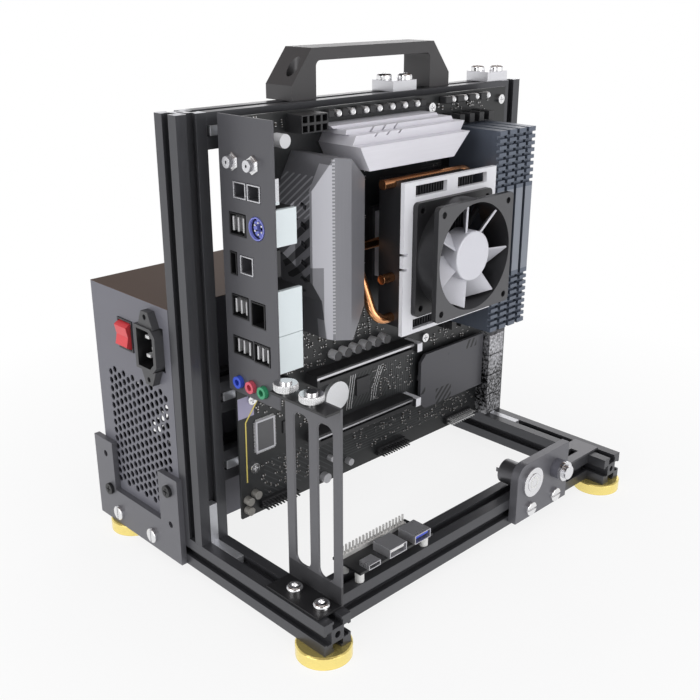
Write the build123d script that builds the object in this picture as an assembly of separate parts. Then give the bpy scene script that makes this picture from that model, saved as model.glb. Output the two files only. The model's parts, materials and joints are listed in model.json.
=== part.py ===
from build123d import *
import math
import os

# An open air test bench: a frame of slotted aluminium rails that carries a bare motherboard,
# its processor cooler, memory and a mains power supply. Millimetres, +Z up, front towards -Y.
# Drawing datum: X from the left rail's outer face, Y from the side rails' front end,
# Z from the underside of the rails. The parts are moved to the middle of the base when saved.

# frame
RAIL = 20.0
SLOT_MOUTH = 6.0
SLOT_LIP = 1.8
SLOT_DEPTH = 5.3
SLOT_WIDE = 8.0
RAIL_BORE = 2.1
WIDTH = 300.0
SIDE_LENGTH = 217.0
FRONT_RAIL_Y = 24.3
REAR_RAIL_Y = 192.7
POST_Y = 121.5
FRAME_TOP = 282.0
FOOT_R = 16.5
FOOT_HEIGHT = 8.0
FOOT_INSET = 11.5
NUT_GAP = 0.2
PLATE = 1.5

# board, on the three cross rails
BOARD = 243.84
BOARD_T = 1.6
BOARD_LEFT = 22.0
BOARD_FRONT = 98.0
HOLE_X = (32.16, 187.1, 259.5)
TOP_ROW = FRAME_TOP - RAIL / 2
MIDDLE_ROW = TOP_ROW - 157.48
LOWER_ROW = TOP_ROW - 203.2
BOARD_TOP = TOP_ROW + 8.0
STANDOFF_R = 3.0
HOLES = [(x, z) for z in (TOP_ROW, MIDDLE_ROW) for x in HOLE_X] + [(HOLE_X[0], LOWER_ROW)]

# power supply, a standard 150 x 86 x 140 case on its side
PSU_L = 140.0
PSU_D = 86.0
PSU_H = 150.0
PSU_Y = 132.0
SHEET = 1.0
INLET_Y = 149.4
INLET_Z = 142.4
INLET_EARS = 20.0
INLET_OUT = 6.2
ROCKER_Y = 179.9
ROCKER_R = 8.6
ROCKER_W = 13.0
ROCKER_GAP = 0.4
ROCKER_DEPTH = 1.6
RUN_GAP = 0.05
VENT_R = 2.15
VENT_PITCH = 6.0
BRACKET_T = 4.0
BRACKET_Y = (129.3, 226.0)
BRACKET_H = 60.0
NOTCH_Y = (150.0, 204.0)
NOTCH_Z = 25.0

# cooler
FAN_X = 154.5
FAN_Z = 192.3
FAN_FRONT = 30.0
FAN_SIDE = 70.0
FAN_DEPTH = 20.0
FAN_HUB = 15.4
FAN_HOLES = 60.0
PSU_FAN_SIDE = 120.0
PSU_FAN_DEPTH = 25.0
PSU_FAN_HUB = 20.0
PSU_FAN_HOLES = 105.0
SHAFT_R = 1.5
FLANGE = 3.5
BLADE_PITCH = 46.0
BLADE_START = 12.0
COOLER_X = (112.0, 197.0)
COOLER_Z = (146.0, 239.5)
COOLER_FRAME_T = 3.0
FIN_BACK = 77.0
FIN_T = 0.5
FIN_PITCH = 2.4
PIPE_R = 3.0
PIPE_BEND = 9.0
PIPE_FIN_Y = 66.0
PIPE_BASE_Y = 86.0
PIPE_LEFT = 105.0
PIPE_RIGHT = 191.0
PIPE_TIP = 110.0
LEFT_PIPES = ((196.0, 153.5),)
RIGHT_PIPES = ((203.0, 236.8), (189.0, 179.2))
BASE_SIDE = 42.0
BASE_Y = (81.0, 94.5)

# rear connector plate: each opening as y0, y1, z0, z1
SHIELD_X = 20.0
SHIELD_T = 1.0
SHIELD_GAP = 0.3
SHIELD_BOX = (56.6, 102.0, 124.0, 282.6)
SLEEVE = 0.7
SLEEVE_OUT = 0.4
JACK_OUT = 2.6
PORT_DEPTH = 9.0
PORTS = (
    (79.8, 90.3, 239.0, 248.0), (67.8, 78.5, 239.0, 248.0), (81.0, 94.9, 218.4, 230.6),
    (90.0, 95.6, 195.5, 208.5), (75.7, 86.7, 197.4, 207.8), (81.3, 95.6, 171.0, 183.9),
    (66.8, 78.6, 169.0, 183.3), (78.8, 96.0, 148.2, 159.0), (63.7, 77.4, 147.6, 159.5),
)
# each housing as depth in x, y0, z0, z1
HOUSINGS = (
    (7.0, 62.0, 238.2, 252.0), (17.0, 60.0, 216.0, 236.0), (17.0, 74.0, 194.5, 209.5),
    (20.0, 60.0, 165.8, 191.5), (20.0, 60.0, 143.6, 165.5), (15.0, 64.0, 125.5, 137.0),
    (9.0, 68.0, 254.0, 263.0),
)
# each round connector as y, z, outer radius, bore radius, how far it stands out
ROUND_PORTS = (
    (71.7, 224.8, 6.4, 5.6, SLEEVE_OUT), (91.7, 131.2, 3.6, 1.9, JACK_OUT),
    (80.6, 131.2, 3.6, 1.9, JACK_OUT), (69.9, 131.2, 3.6, 1.9, JACK_OUT),
    (89.7, 258.5, 3.2, 0.8, 5.0), (72.7, 258.5, 3.2, 0.8, 5.0),
)

# memory and card slots
MODULE_X = (203.0, 213.0, 223.0, 233.0)
MODULE_Z = (127.0, 260.4)
MODULE_FRONT = 50.0
MODULE_T = 7.2
SLOT_TOP = 91.0
TONGUE_T = 1.3
CARD_SLOT_Z = (115.6, 75.0)
CARD_SLOT_X = (76.0, 165.0)
CARD_SLOT_FRONT = 87.0

# front controls
PLATE_X = (184.0, 243.0)
PLATE_Z = (3.0, 45.5)
PLATE_FRONT = 8.3
POWER_X = 200.0
RESET_X = 228.6
BUTTON_Z = 30.3
POWER_BODY_R = 8.5
RESET_BODY_R = 6.0
POWER_CAP_R = 6.5
RESET_CAP_R = 4.9
USB_X = (41.0, 104.0)
USB_Y = (13.5, 37.0)
USB_Z = 27.0
USB_FRONT = 11.8
USB_SHELL = 0.5

# handle and card bracket
HANDLE_X = (86.0, 227.0)
HANDLE_Y = (117.2, 140.8)
HANDLE_LEG = 19.4
HANDLE_H = 29.5
HANDLE_BAR = 7.3
CARD_PLATE_Y = (6.0, 50.4)
CARD_PLATE_TOP = 141.5
THUMB_X = 12.0
THUMB_Y = (21.0, 41.5)

RAIL_FRONT = FRONT_RAIL_Y - RAIL / 2
POST_FRONT = POST_Y - RAIL / 2
BOARD_BACK = BOARD_FRONT + BOARD_T
PSU_TOP = RAIL + PSU_H
PSU_BACK = PSU_Y + PSU_D
SHIELD_IN = SHIELD_X + SHIELD_T
FAN_BACK = FAN_FRONT + FAN_DEPTH
FIN_FRONT = FAN_BACK + COOLER_FRAME_T
HOME = Pos(-WIDTH / 2, (FOOT_R - FOOT_INSET - BRACKET_Y[1]) / 2, FOOT_HEIGHT)

ALONG = {"X": Rot(0, 90, 0), "Y": Rot(-90, 0, 0), "Z": Rot(0, 0, 0)}
FACING = {"up": Rot(0, 0, 0), "front": Rot(90, 0, 0), "left": Rot(0, -90, 0)}
BASE = (Align.CENTER, Align.CENTER, Align.MIN)


def box(x0, x1, y0, y1, z0, z1):
    """A block between two corners."""
    return Pos((x0 + x1) / 2, (y0 + y1) / 2, (z0 + z1) / 2) * Box(x1 - x0, y1 - y0, z1 - z0)


def rod(axis, start, radius, length):
    """A round bar from a start point along an axis."""
    return Pos(*start) * ALONG[axis] * Cylinder(radius, length, align=BASE)


def prism_y(points, y0, y1):
    """A block whose outline is drawn in X and Z."""
    outline = Plane.XZ * make_face(Polyline(*points, close=True))
    return Pos(0, y1, 0) * extrude(outline, y1 - y0)


def save(name, *shapes):
    """Write one named part, moved to the shared origin."""
    shape = shapes[0] if len(shapes) == 1 else Compound(children=list(shapes))
    export_step(HOME * shape, "parts/" + name + ".step")


def rail(axis, start, length):
    """A slotted rail; start is the middle of its first end face."""
    face = Rectangle(RAIL, RAIL)
    mouth = Pos(0, (RAIL - SLOT_DEPTH) / 2) * Rectangle(SLOT_MOUTH, SLOT_DEPTH)
    inner_depth = SLOT_DEPTH - SLOT_LIP
    inner = Pos(0, RAIL / 2 - SLOT_LIP - inner_depth / 2) * Rectangle(SLOT_WIDE, inner_depth)
    for turn in range(4):
        face -= Rot(0, 0, 90 * turn) * (mouth + inner)
    face -= Circle(RAIL_BORE)
    return Pos(*start) * ALONG[axis] * extrude(face, length)


def dome_head(radius=5.0, height=4.0):
    """A round head with a hexagon socket."""
    head = Cylinder(radius, height, align=BASE)
    head = fillet(head.edges().group_by(Axis.Z)[-1], height * 0.48)
    socket = Pos(0, 0, height) * extrude(RegularPolygon(2.0, 6), -1.8)
    return head - socket


def slotted_head(radius=5.0, height=2.4):
    """A pan head with a single slot."""
    head = Cylinder(radius, height, align=BASE)
    head = fillet(head.edges().group_by(Axis.Z)[-1], 0.7)
    return head - Pos(0, 0, height) * Box(2 * radius + 1, 1.3, 2.2)


def cross_head(radius, height):
    """A pan head with a cross recess."""
    head = Cylinder(radius, height, align=BASE)
    arms = Box(radius * 1.2, 0.8, 1.6) + Box(0.8, radius * 1.2, 1.6)
    return head - Pos(0, 0, height) * arms


def fan_housing(side, depth, hub, hole_pitch):
    """A flanged fan frame with a motor seat on four arms; local +Z is the air's way out."""
    bore = side / 2 - 2.0
    frame = Box(side, side, depth, align=BASE)
    frame = fillet(frame.edges().filter_by(Axis.Z), 3.0)
    waist = Box(side + 2, side + 2, depth - 2 * FLANGE, align=BASE)
    waist -= Cylinder(bore + 1.4, depth, align=BASE)
    frame -= Pos(0, 0, FLANGE) * waist
    frame -= Cylinder(bore, depth, align=BASE)
    half = hole_pitch / 2
    for x, y in ((half, half), (half, -half), (-half, half), (-half, -half)):
        frame -= Pos(x, y, 0) * Cylinder(2.0, depth, align=BASE)
    seat = Pos(0, 0, depth - 4.0) * Cylinder(hub * 0.95, 4.0, align=BASE)
    for turn in (45, 135):
        seat += Pos(0, 0, depth - 2.5) * Rot(0, 0, turn) * Box(2 * bore + 0.6, 3.0, 2.5, align=BASE)
    frame += seat
    return frame - Pos(0, 0, depth - 4.0) * Cylinder(SHAFT_R + RUN_GAP, 3.0, align=BASE)


def fan_wheel(side, depth, hub, blades=7):
    """A hub with steep blades that widen outwards, and a shaft that runs in the motor seat."""
    tip = side / 2 - 3.6
    back = depth - 4.4
    wheel = Pos(0, 0, 1.6) * Cylinder(hub, back - 1.6, align=BASE)
    wheel = fillet(wheel.edges().group_by(Axis.Z)[0], 1.0)
    wheel += Pos(0, 0, back) * Cylinder(SHAFT_R, 2.8, align=BASE)
    middle = (1.6 + back) / 2
    root = hub - 1.0
    chord = (depth - 5.5) / math.sin(math.radians(BLADE_PITCH))
    outline = ((root, -chord * 0.3), (tip, -chord * 0.5), (tip, chord * 0.5), (root, chord * 0.3))
    flat = extrude(make_face(Polyline(*outline, close=True)), 0.6, both=True)
    for index in range(blades):
        turn = 360 / blades * index + BLADE_START
        wheel += Rot(0, 0, turn) * Pos(0, 0, middle) * Rot(BLADE_PITCH, 0, 0) * flat
    return wheel


def pipe_path(base_z, fin_z, bend_x, ends):
    """The bent middle line of a heat pipe: along the base, round the bend, into the fins."""
    rise = Vector(0, PIPE_FIN_Y - PIPE_BASE_Y, fin_z - base_z)
    flat = Plane(
        origin=(0, PIPE_BASE_Y, base_z), x_dir=(1, 0, 0), z_dir=Vector(1, 0, 0).cross(rise)
    )
    points = ((ends[0], 0), (bend_x, 0), (bend_x, rise.length), (ends[1], rise.length))
    return flat * FilletPolyline(*points, radius=PIPE_BEND)


def heat_pipe(base_z, fin_z, bend_x, ends):
    """One round heat pipe."""
    path = pipe_path(base_z, fin_z, bend_x, ends)
    return sweep(Plane(origin=path @ 0, z_dir=path % 0) * Circle(PIPE_R), path=path)


def pin_row(x0, count, pitch, base, pin):
    """A plastic strip with a row of square pins standing out of it along -Y."""
    strip = box(x0, x0 + count * pitch, base[0], base[1], base[2], base[3])
    middle = (base[2] + base[3]) / 2
    for index in range(count):
        x = x0 + (index + 0.5) * pitch
        strip += box(x - 0.4, x + 0.4, base[0] - pin, base[0], middle - 0.4, middle + 0.4)
    return strip


def build_frame():
    """Rails, posts, feet, handle and what holds them together."""
    inner = WIDTH - 2 * RAIL
    middle = RAIL / 2
    right = WIDTH - middle
    save("left_rail", rail("Y", (middle, 0, middle), SIDE_LENGTH))
    save("right_rail", rail("Y", (right, 0, middle), SIDE_LENGTH))
    save("front_rail", rail("X", (RAIL, FRONT_RAIL_Y, middle), inner))
    save("rear_base_rail", rail("X", (RAIL, REAR_RAIL_Y, middle), inner))
    save("left_upright", rail("Z", (middle, POST_Y, RAIL), FRAME_TOP - RAIL))
    save("right_upright", rail("Z", (right, POST_Y, RAIL), FRAME_TOP - RAIL))
    for name, z in (("top_rail", TOP_ROW), ("middle_rail", MIDDLE_ROW), ("lower_rail", LOWER_ROW)):
        save(name, rail("X", (RAIL, POST_Y, z), inner))

    half = SLOT_MOUTH / 2 - NUT_GAP
    deep = SLOT_DEPTH - NUT_GAP
    hardware = []
    for x in (middle, right):
        lower = box(x - half, x + half, POST_FRONT - 25.0, POST_FRONT + deep, RAIL - deep, RAIL)
        upper = box(x - half, x + half, POST_FRONT, POST_FRONT + deep, RAIL, RAIL + 26.0)
        hardware.append(lower + upper)
    for x, z in HOLES:
        reach = 10.0 if x == HOLE_X[0] else 6.0
        hardware.append(box(x - reach, x + reach, POST_FRONT, POST_FRONT + deep, z - half, z + half))
    save("slot_hardware", *hardware)

    corner = box(240.0, 293.0, RAIL_FRONT, RAIL_FRONT + RAIL, RAIL, RAIL + PLATE)
    corner -= box(247.0, 277.0, FRONT_RAIL_Y - 3.0, FRONT_RAIL_Y + 3.0, RAIL, RAIL + PLATE)
    save("corner_plate", corner)

    spots = [(x, y) for x in (middle, right) for y in (FOOT_INSET, SIDE_LENGTH - FOOT_INSET)]
    foot = chamfer(Cylinder(FOOT_R, FOOT_HEIGHT).edges().group_by(Axis.Z)[-1], 0.8)
    save("feet", *[Pos(x, y, -FOOT_HEIGHT / 2) * foot for x, y in spots])

    x0, x1 = HANDLE_X
    crown = FRAME_TOP + HANDLE_H
    shoulder = FRAME_TOP + 8.8
    outline = (
        (x0, FRAME_TOP), (x0, shoulder), (x0 + 16.2, crown),
        (x1 - 16.2, crown), (x1, shoulder), (x1, FRAME_TOP),
    )
    handle = prism_y(outline, *HANDLE_Y)
    grip = box(x0 + HANDLE_LEG, x1 - HANDLE_LEG, *HANDLE_Y, FRAME_TOP, crown - HANDLE_BAR)
    handle -= fillet(grip.edges().filter_by(Axis.Y).group_by(Axis.Z)[-1], 3.5)
    pocket_floor = FRAME_TOP + 4.0
    bolts = [(x0 + 8.0, POST_Y + 3.0), (x1 - 8.0, POST_Y + 3.0)]
    for x, y in bolts:
        handle -= rod("Z", (x, y, pocket_floor), 4.2, HANDLE_H)
    save("handle", handle)

    clip_y = POST_Y - 8.5
    clip_top = FRAME_TOP + 6.5
    clips = []
    domes = []
    for x in (168.0, 264.5):
        clips.append(box(x, x + 22.0, clip_y, clip_y + 19.0, FRAME_TOP, clip_top))
        for dx, dy in ((16.3, 5.2), (5.7, 13.8)):
            domes.append(Pos(x + dx, clip_y + dy, clip_top) * dome_head())
    save("top_clips", *clips)
    for y in (12.5, 35.1):
        domes.append(Pos(9.5, y, RAIL + PLATE) * dome_head())
    save("dome_screws", *domes)

    slotted = [Pos(x, PLATE_FRONT, 9.7) * FACING["front"] * slotted_head() for x in (POWER_X, RESET_X)]
    for y in (160.4, 200.7):
        slotted.append(Pos(-BRACKET_T, y, 9.0) * FACING["left"] * slotted_head())
    save("slotted_screws", *slotted)

    black = [Pos(x, y, pocket_floor) * cross_head(3.8, 3.0) for x, y in bolts]
    for y, z in ((210.0, 24.0), (139.0, 50.0)):
        black.append(Pos(-BRACKET_T, y, z) * FACING["left"] * cross_head(4.0, 2.2))
    save("black_screws", *black)


def build_supply():
    """The power supply with its switch, inlet, fan and bracket."""
    y0, y1 = PSU_Y, PSU_BACK
    z0, z1 = RAIL, PSU_TOP
    case = box(0, SHEET, y0, y1, z0, z1) + box(PSU_L - SHEET, PSU_L, y0, y1, z0, z1)
    case += box(0, PSU_L, y0, y1, z0, z0 + SHEET)
    case -= box(0, SHEET, INLET_Y - 11.0, INLET_Y + 11.0, INLET_Z - 14.0, INLET_Z + 14.0)
    half_w = ROCKER_W / 2 + ROCKER_GAP
    wall = 1.2
    case -= box(
        0, SHEET, ROCKER_Y - half_w - wall, ROCKER_Y + half_w + wall,
        INLET_Z - ROCKER_R - ROCKER_GAP - wall, INLET_Z + ROCKER_R + ROCKER_GAP + wall,
    )
    vents = []
    for column in range(13):
        for row in range(14):
            y = 140.6 + column * VENT_PITCH * math.sin(math.radians(60))
            z = 33.0 + (row + 0.5 * (column % 2)) * VENT_PITCH
            vents.append(rod("X", (0, y, z), VENT_R, SHEET))
    save("psu_case", case - vents)

    fan_x = PSU_L / 2
    fan_z = (z0 + z1) / 2
    cover = box(SHEET, PSU_L - SHEET, y0, y0 + SHEET, z0 + SHEET, z1)
    back = box(SHEET, PSU_L - SHEET, y1 - SHEET, y1, z0 + SHEET, z1)
    for radius in (22.0, 31.0, 40.0, 49.0):
        ring = rod("Y", (fan_x, y1 - SHEET, fan_z), radius + 6.0, SHEET)
        ring -= rod("Y", (fan_x, y1 - SHEET, fan_z), radius, SHEET)
        ring -= Pos(fan_x, y1, fan_z) * (Box(4, 4, 4 * radius) + Box(4 * radius, 4, 4))
        back -= ring
    cover += back
    cover += box(SHEET, PSU_L - SHEET, y0, y1, z1 - SHEET, z1)
    save("psu_cover", cover)

    fan_at = Pos(fan_x, y1 - SHEET - PSU_FAN_DEPTH, fan_z) * ALONG["Y"]
    save("psu_fan_frame", fan_at * fan_housing(PSU_FAN_SIDE, PSU_FAN_DEPTH, PSU_FAN_HUB, PSU_FAN_HOLES))
    save("psu_fan_rotor", fan_at * fan_wheel(PSU_FAN_SIDE, PSU_FAN_DEPTH, PSU_FAN_HUB))

    out = -INLET_OUT
    low, high = INLET_Z - 14.0, INLET_Z + 14.0
    mouth = (
        (INLET_Y - 8.2, INLET_Z - 8.0), (INLET_Y - 4.2, INLET_Z - 12.0), (INLET_Y + 8.2, INLET_Z - 12.0),
        (INLET_Y + 8.2, INLET_Z + 12.0), (INLET_Y - 4.2, INLET_Z + 12.0), (INLET_Y - 8.2, INLET_Z + 8.0),
    )
    inlet = box(out, 22.0, INLET_Y - 11.0, INLET_Y + 11.0, low, high)
    inlet = chamfer(inlet.edges().filter_by(Axis.X).group_by(Axis.Y)[0], 4.5)
    inlet -= Pos(out, 0, 0) * extrude(Plane.YZ * make_face(Polyline(*mouth, close=True)), 17.0)
    for dy, dz in ((-3.5, 0), (3.0, 6.0), (3.0, -6.0)):
        y, z = INLET_Y + dy, INLET_Z + dz
        inlet += box(out + 4.0, 11.0, y - 2.0, y + 2.0, z - 1.0, z + 1.0)
    for way in (-1, 1):
        root = INLET_Z + way * 13.5
        tip = INLET_Z + way * (INLET_EARS + 3.5)
        ear = ((INLET_Y - 8.0, root), (INLET_Y + 8.0, root), (INLET_Y + 3.5, tip), (INLET_Y - 3.5, tip))
        wing = extrude(Plane.YZ * make_face(Polyline(*ear, close=True)), INLET_OUT - 1.2)
        inlet += Pos(out + 1.2, 0, 0) * wing
        inlet -= rod("X", (out, INLET_Y, INLET_Z + way * INLET_EARS), 1.7, INLET_OUT)
    save("psu_inlet", inlet)

    pivot = (ROCKER_DEPTH, INLET_Z)
    reach = ROCKER_R + ROCKER_GAP
    bezel = box(
        -0.8, 14.0, ROCKER_Y - half_w - wall, ROCKER_Y + half_w + wall,
        INLET_Z - reach - wall, INLET_Z + reach + wall,
    )
    bezel -= box(-0.8, 12.8, ROCKER_Y - half_w, ROCKER_Y + half_w, INLET_Z - reach, INLET_Z + reach)
    pin_y = ROCKER_Y - half_w - 0.8
    pin_length = 2 * half_w + 1.6
    bezel -= rod("Y", (pivot[0], pin_y, pivot[1]), SHAFT_R + RUN_GAP, pin_length)
    save("rocker_bezel", bezel)
    rocker = rod("Y", (pivot[0], ROCKER_Y - ROCKER_W / 2, pivot[1]), ROCKER_R, ROCKER_W)
    crease = (pivot[0] - 4.4, pivot[1])
    tilt = math.tan(math.radians(12)) * 2 * ROCKER_R
    for way in (1, -1):
        cut = (
            crease, (crease[0] - tilt, crease[1] + way * 2 * ROCKER_R),
            (crease[0] - 20.0, crease[1] + way * 2 * ROCKER_R), (crease[0] - 20.0, crease[1]),
        )
        rocker -= prism_y(cut, ROCKER_Y - ROCKER_W, ROCKER_Y + ROCKER_W)
    rocker -= box(pivot[0] + 4.0, 20.0, ROCKER_Y - ROCKER_W, ROCKER_Y + ROCKER_W, 0.0, FRAME_TOP)
    rocker += rod("Y", (pivot[0], pin_y + 0.2, pivot[1]), SHAFT_R, pin_length - 0.4)
    save("rocker", rocker)

    by0, by1 = BRACKET_Y
    bracket = box(-BRACKET_T, 0, by0, by1, 0, BRACKET_H)
    bracket -= box(-BRACKET_T, 0, *NOTCH_Y, NOTCH_Z, BRACKET_H)
    for y, z in ((213.0, 49.4), (139.0, 25.7)):
        bracket -= rod("X", (-BRACKET_T, y, z), 2.2, BRACKET_T)
    save("psu_bracket", bracket)


def build_board():
    """The motherboard with everything that stands on it, apart from the cooler."""
    x0 = BOARD_LEFT
    front = BOARD_FRONT
    board = box(x0, x0 + BOARD, front, BOARD_BACK, BOARD_TOP - BOARD, BOARD_TOP)
    for x, z in HOLES:
        board -= rod("Y", (x, front, z), 1.9, BOARD_T)
    save("motherboard", board)
    gap = POST_FRONT - BOARD_BACK
    save("board_standoffs", *[rod("Y", (x, BOARD_BACK, z), STANDOFF_R, gap) for x, z in HOLES])
    heads = [Pos(x, front, z) * FACING["front"] * cross_head(3.2, 2.0) for x, z in HOLES]
    save("board_screws", *heads)

    sy0, sy1, sz0, sz1 = SHIELD_BOX
    shield = box(SHIELD_X, SHIELD_IN, sy0, sy1, sz0, sz1)
    cuts = []
    for y0, y1, z0, z1 in PORTS:
        gap = SHIELD_GAP
        cuts.append(box(SHIELD_X, SHIELD_IN, y0 - gap, y1 + gap, z0 - gap, z1 + gap))
    for y, z, outer, _, _ in ROUND_PORTS:
        cuts.append(rod("X", (SHIELD_X, y, z), outer + SHIELD_GAP, SHIELD_T))
    save("io_shield", shield - cuts)

    mouth = SHIELD_X - SLEEVE_OUT
    housings = []
    for depth, y0, z0, z1 in HOUSINGS:
        housing = box(SHIELD_IN, SHIELD_IN + depth, y0, front, z0, z1)
        for py0, py1, pz0, pz1 in PORTS:
            if z0 <= pz0 and pz1 <= z1:
                housing += box(mouth, SHIELD_IN, py0, py1, pz0, pz1)
                end = SHIELD_IN + min(PORT_DEPTH, depth - 1.5)
                housing -= box(mouth, end, py0 + SLEEVE, py1 - SLEEVE, pz0 + SLEEVE, pz1 - SLEEVE)
        for y, z, outer, inner, out in ROUND_PORTS:
            if z0 <= z - outer and z + outer <= z1:
                housing += rod("X", (SHIELD_X - out, y, z), outer, SHIELD_T + out)
                housing -= rod("X", (SHIELD_X - out, y, z), inner, out + PORT_DEPTH - 1.5)
        housings.append(housing)
    save("io_ports", *housings)

    plan = (
        (46.0, front), (46.0, 88.0), (54.0, 80.0), (58.0, 70.0), (68.0, 62.0),
        (81.0, 62.0), (97.5, 68.0), (97.5, front),
    )
    outline = (
        (46.0, 222.0), (54.0, 234.0), (58.6, 241.0), (68.0, 258.0), (81.0, 256.0), (97.5, 243.0),
        (97.5, 166.0), (83.0, 148.5), (64.0, 153.0), (62.0, 176.0), (54.0, 196.0), (46.0, 208.0),
    )
    sink = prism_y(outline, 60.0, front) & extrude(make_face(Polyline(*plan, close=True)), FRAME_TOP)
    for index in range(6):
        z = 176.0 + 11.0 * index
        sink -= Pos(56.0, 75.0, z) * Rot(35, 0, -25) * Box(3.0, 26.0, 3.0)
    save("left_heatsink", sink)

    steps = (
        (63.0, ((96.5, 246.8), (88.8, 261.0), (185.0, 261.0), (170.5, 246.8))),
        (70.0, ((89.5, 261.0), (92.5, 266.5), (188.0, 266.5), (184.5, 261.0))),
        (76.0, ((90.0, 266.5), (90.6, 269.3), (182.0, 269.3), (184.0, 266.5))),
        (84.0, ((88.0, 269.3), (86.0, 271.0), (177.0, 271.0), (179.0, 269.3))),
    )
    top_sink = prism_y(steps[0][1], steps[0][0], front)
    for y, shape in steps[1:]:
        top_sink += prism_y(shape, y, front)
    for x in (107.0, 117.0, 127.0):
        slit = ((x, 264.5), (x + 1.6, 264.5), (x + 6.6, 269.3), (x + 5.0, 269.3))
        top_sink -= prism_y(slit, 70.0, 82.0)
    save("top_heatsink", top_sink)

    sockets = []
    for sx0, sx1, sz0, sz1 in ((65.0, 85.0, 268.5, 278.7), (253.5, 264.0, 150.0, 203.0)):
        socket = box(sx0, sx1, 85.0, front, sz0, sz1)
        count = round((sx1 - sx0) / 5.0)
        rows = round((sz1 - sz0) / 5.0)
        holes = []
        for i in range(count):
            for j in range(rows):
                cx = sx0 + (i + 0.5) * (sx1 - sx0) / count
                cz = sz0 + (j + 0.5) * (sz1 - sz0) / rows
                holes.append(box(cx - 1.8, cx + 1.8, 85.0, 95.0, cz - 1.8, cz + 1.8))
        sockets.append(socket - holes)
    save("power_sockets", *sockets)

    mz0, mz1 = MODULE_Z
    slots = []
    modules = []
    half = MODULE_T / 2
    tongue_back = SLOT_TOP + 4.0
    for x in MODULE_X:
        slot = box(x - 3.2, x + 3.2, SLOT_TOP, front, mz0 - 7.0, mz1 + 7.0)
        slot += box(x - 2.4, x + 2.4, SLOT_TOP - 7.0, SLOT_TOP, mz0 - 7.0, mz0 - 1.2)
        slot += box(x - 2.4, x + 2.4, SLOT_TOP - 7.0, SLOT_TOP, mz1 + 1.2, mz1 + 7.0)
        slots.append(slot - box(x - 0.9, x + 0.9, SLOT_TOP, tongue_back, mz0 - 0.4, mz1 + 0.4))
        module = box(x - half, x + half, MODULE_FRONT, SLOT_TOP, mz0, mz1)
        teeth = []
        for index in range(8):
            for z in (mz0 + 3.0 + 4.4 * index, mz1 - 5.0 - 4.4 * index):
                teeth.append(box(x - half, x + half, MODULE_FRONT, MODULE_FRONT + 2.4, z, z + 2.0))
        module -= teeth
        module += box(x - TONGUE_T / 2, x + TONGUE_T / 2, SLOT_TOP, tongue_back, mz0, mz1)
        modules.append(module)
    save("memory_slots", *slots)
    save("memory_modules", *modules)

    cards = []
    for z in CARD_SLOT_Z:
        slot = box(*CARD_SLOT_X, CARD_SLOT_FRONT, front, z - 3.7, z + 3.7)
        slot -= box(CARD_SLOT_X[0] + 2, CARD_SLOT_X[1] - 2, CARD_SLOT_FRONT, 95.0, z - 0.9, z + 0.9)
        slot += box(CARD_SLOT_X[1], CARD_SLOT_X[1] + 5.0, CARD_SLOT_FRONT - 3.0, front, z - 3.0, z + 3.0)
        cards.append(slot)
    save("pcie_slots", *cards)

    cover = box(178.5, 247.5, 92.0, 94.5, 63.0, 104.0)
    cover = chamfer(cover.edges().filter_by(Axis.Y).group_by(Axis.X)[0], 5.0)
    for x, z in ((184.0, 85.0), (242.0, 85.0)):
        cover += rod("Y", (x, 94.5, z), 3.0, front - 94.5)
    save("m2_cover", cover)
    save("coin_cell", rod("Y", (100.6, 94.8, 96.5), 10.0, front - 94.8))

    parts = [
        box(34.0, 49.0, 96.6, front, 78.0, 99.0), box(60.0, 66.0, 96.9, front, 112.0, 118.0),
        box(56.0, 64.0, 96.9, front, 84.0, 92.0), box(120.0, 132.0, 96.7, front, 90.0, 102.0),
        box(FAN_X - 23.0, FAN_X + 23.0, BASE_Y[1], front, FAN_Z - 24.0, FAN_Z + 24.0),
    ]
    for index in range(6):
        parts.append(rod("Y", (98.0 + 9.0 * index, 91.0, 126.0), 3.1, front - 91.0))
    parts.append(rod("Y", (57.0, 90.0, 265.0), 4.0, front - 90.0))
    for x, z, radius in (
        (26.0, 48.5, 2.7), (32.0, 51.0, 2.7), (26.0, 41.8, 2.7), (90.0, 41.0, 3.4),
        (95.3, 53.2, 2.0), (100.6, 50.0, 2.0), (112.0, 45.0, 2.4),
    ):
        parts.append(rod("Y", (x, 93.5, z), radius, front - 93.5))
    save("board_parts", *parts)

    base = (95.4, front)
    rows = []
    for x in (36.0, 140.0, 213.0):
        for z in (39.0, 42.0):
            rows.append(pin_row(x, 11, 2.54, (*base, z, z + 2.5), 5.0))
    rise = USB_Z + BOARD_T
    usb_pins = box(43.5, 98.5, 31.0, 34.0, rise, rise + 2.5)
    for index in range(19):
        x = 45.0 + index * 2.88
        usb_pins += box(x - 0.5, x + 0.5, 32.0, 33.0, rise + 2.5, rise + 8.0)
    save("pin_headers", *rows, usb_pins)

    sata = []
    for index in range(4):
        z = 39.0 + 16.0 * index
        port = box(249.0, 265.5, 87.0, front, z, z + 15.2)
        sata.append(port - box(256.0, 265.5, 89.0, 96.0, z + 2.0, z + 13.2))
    save("sata_ports", *sata)


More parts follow.
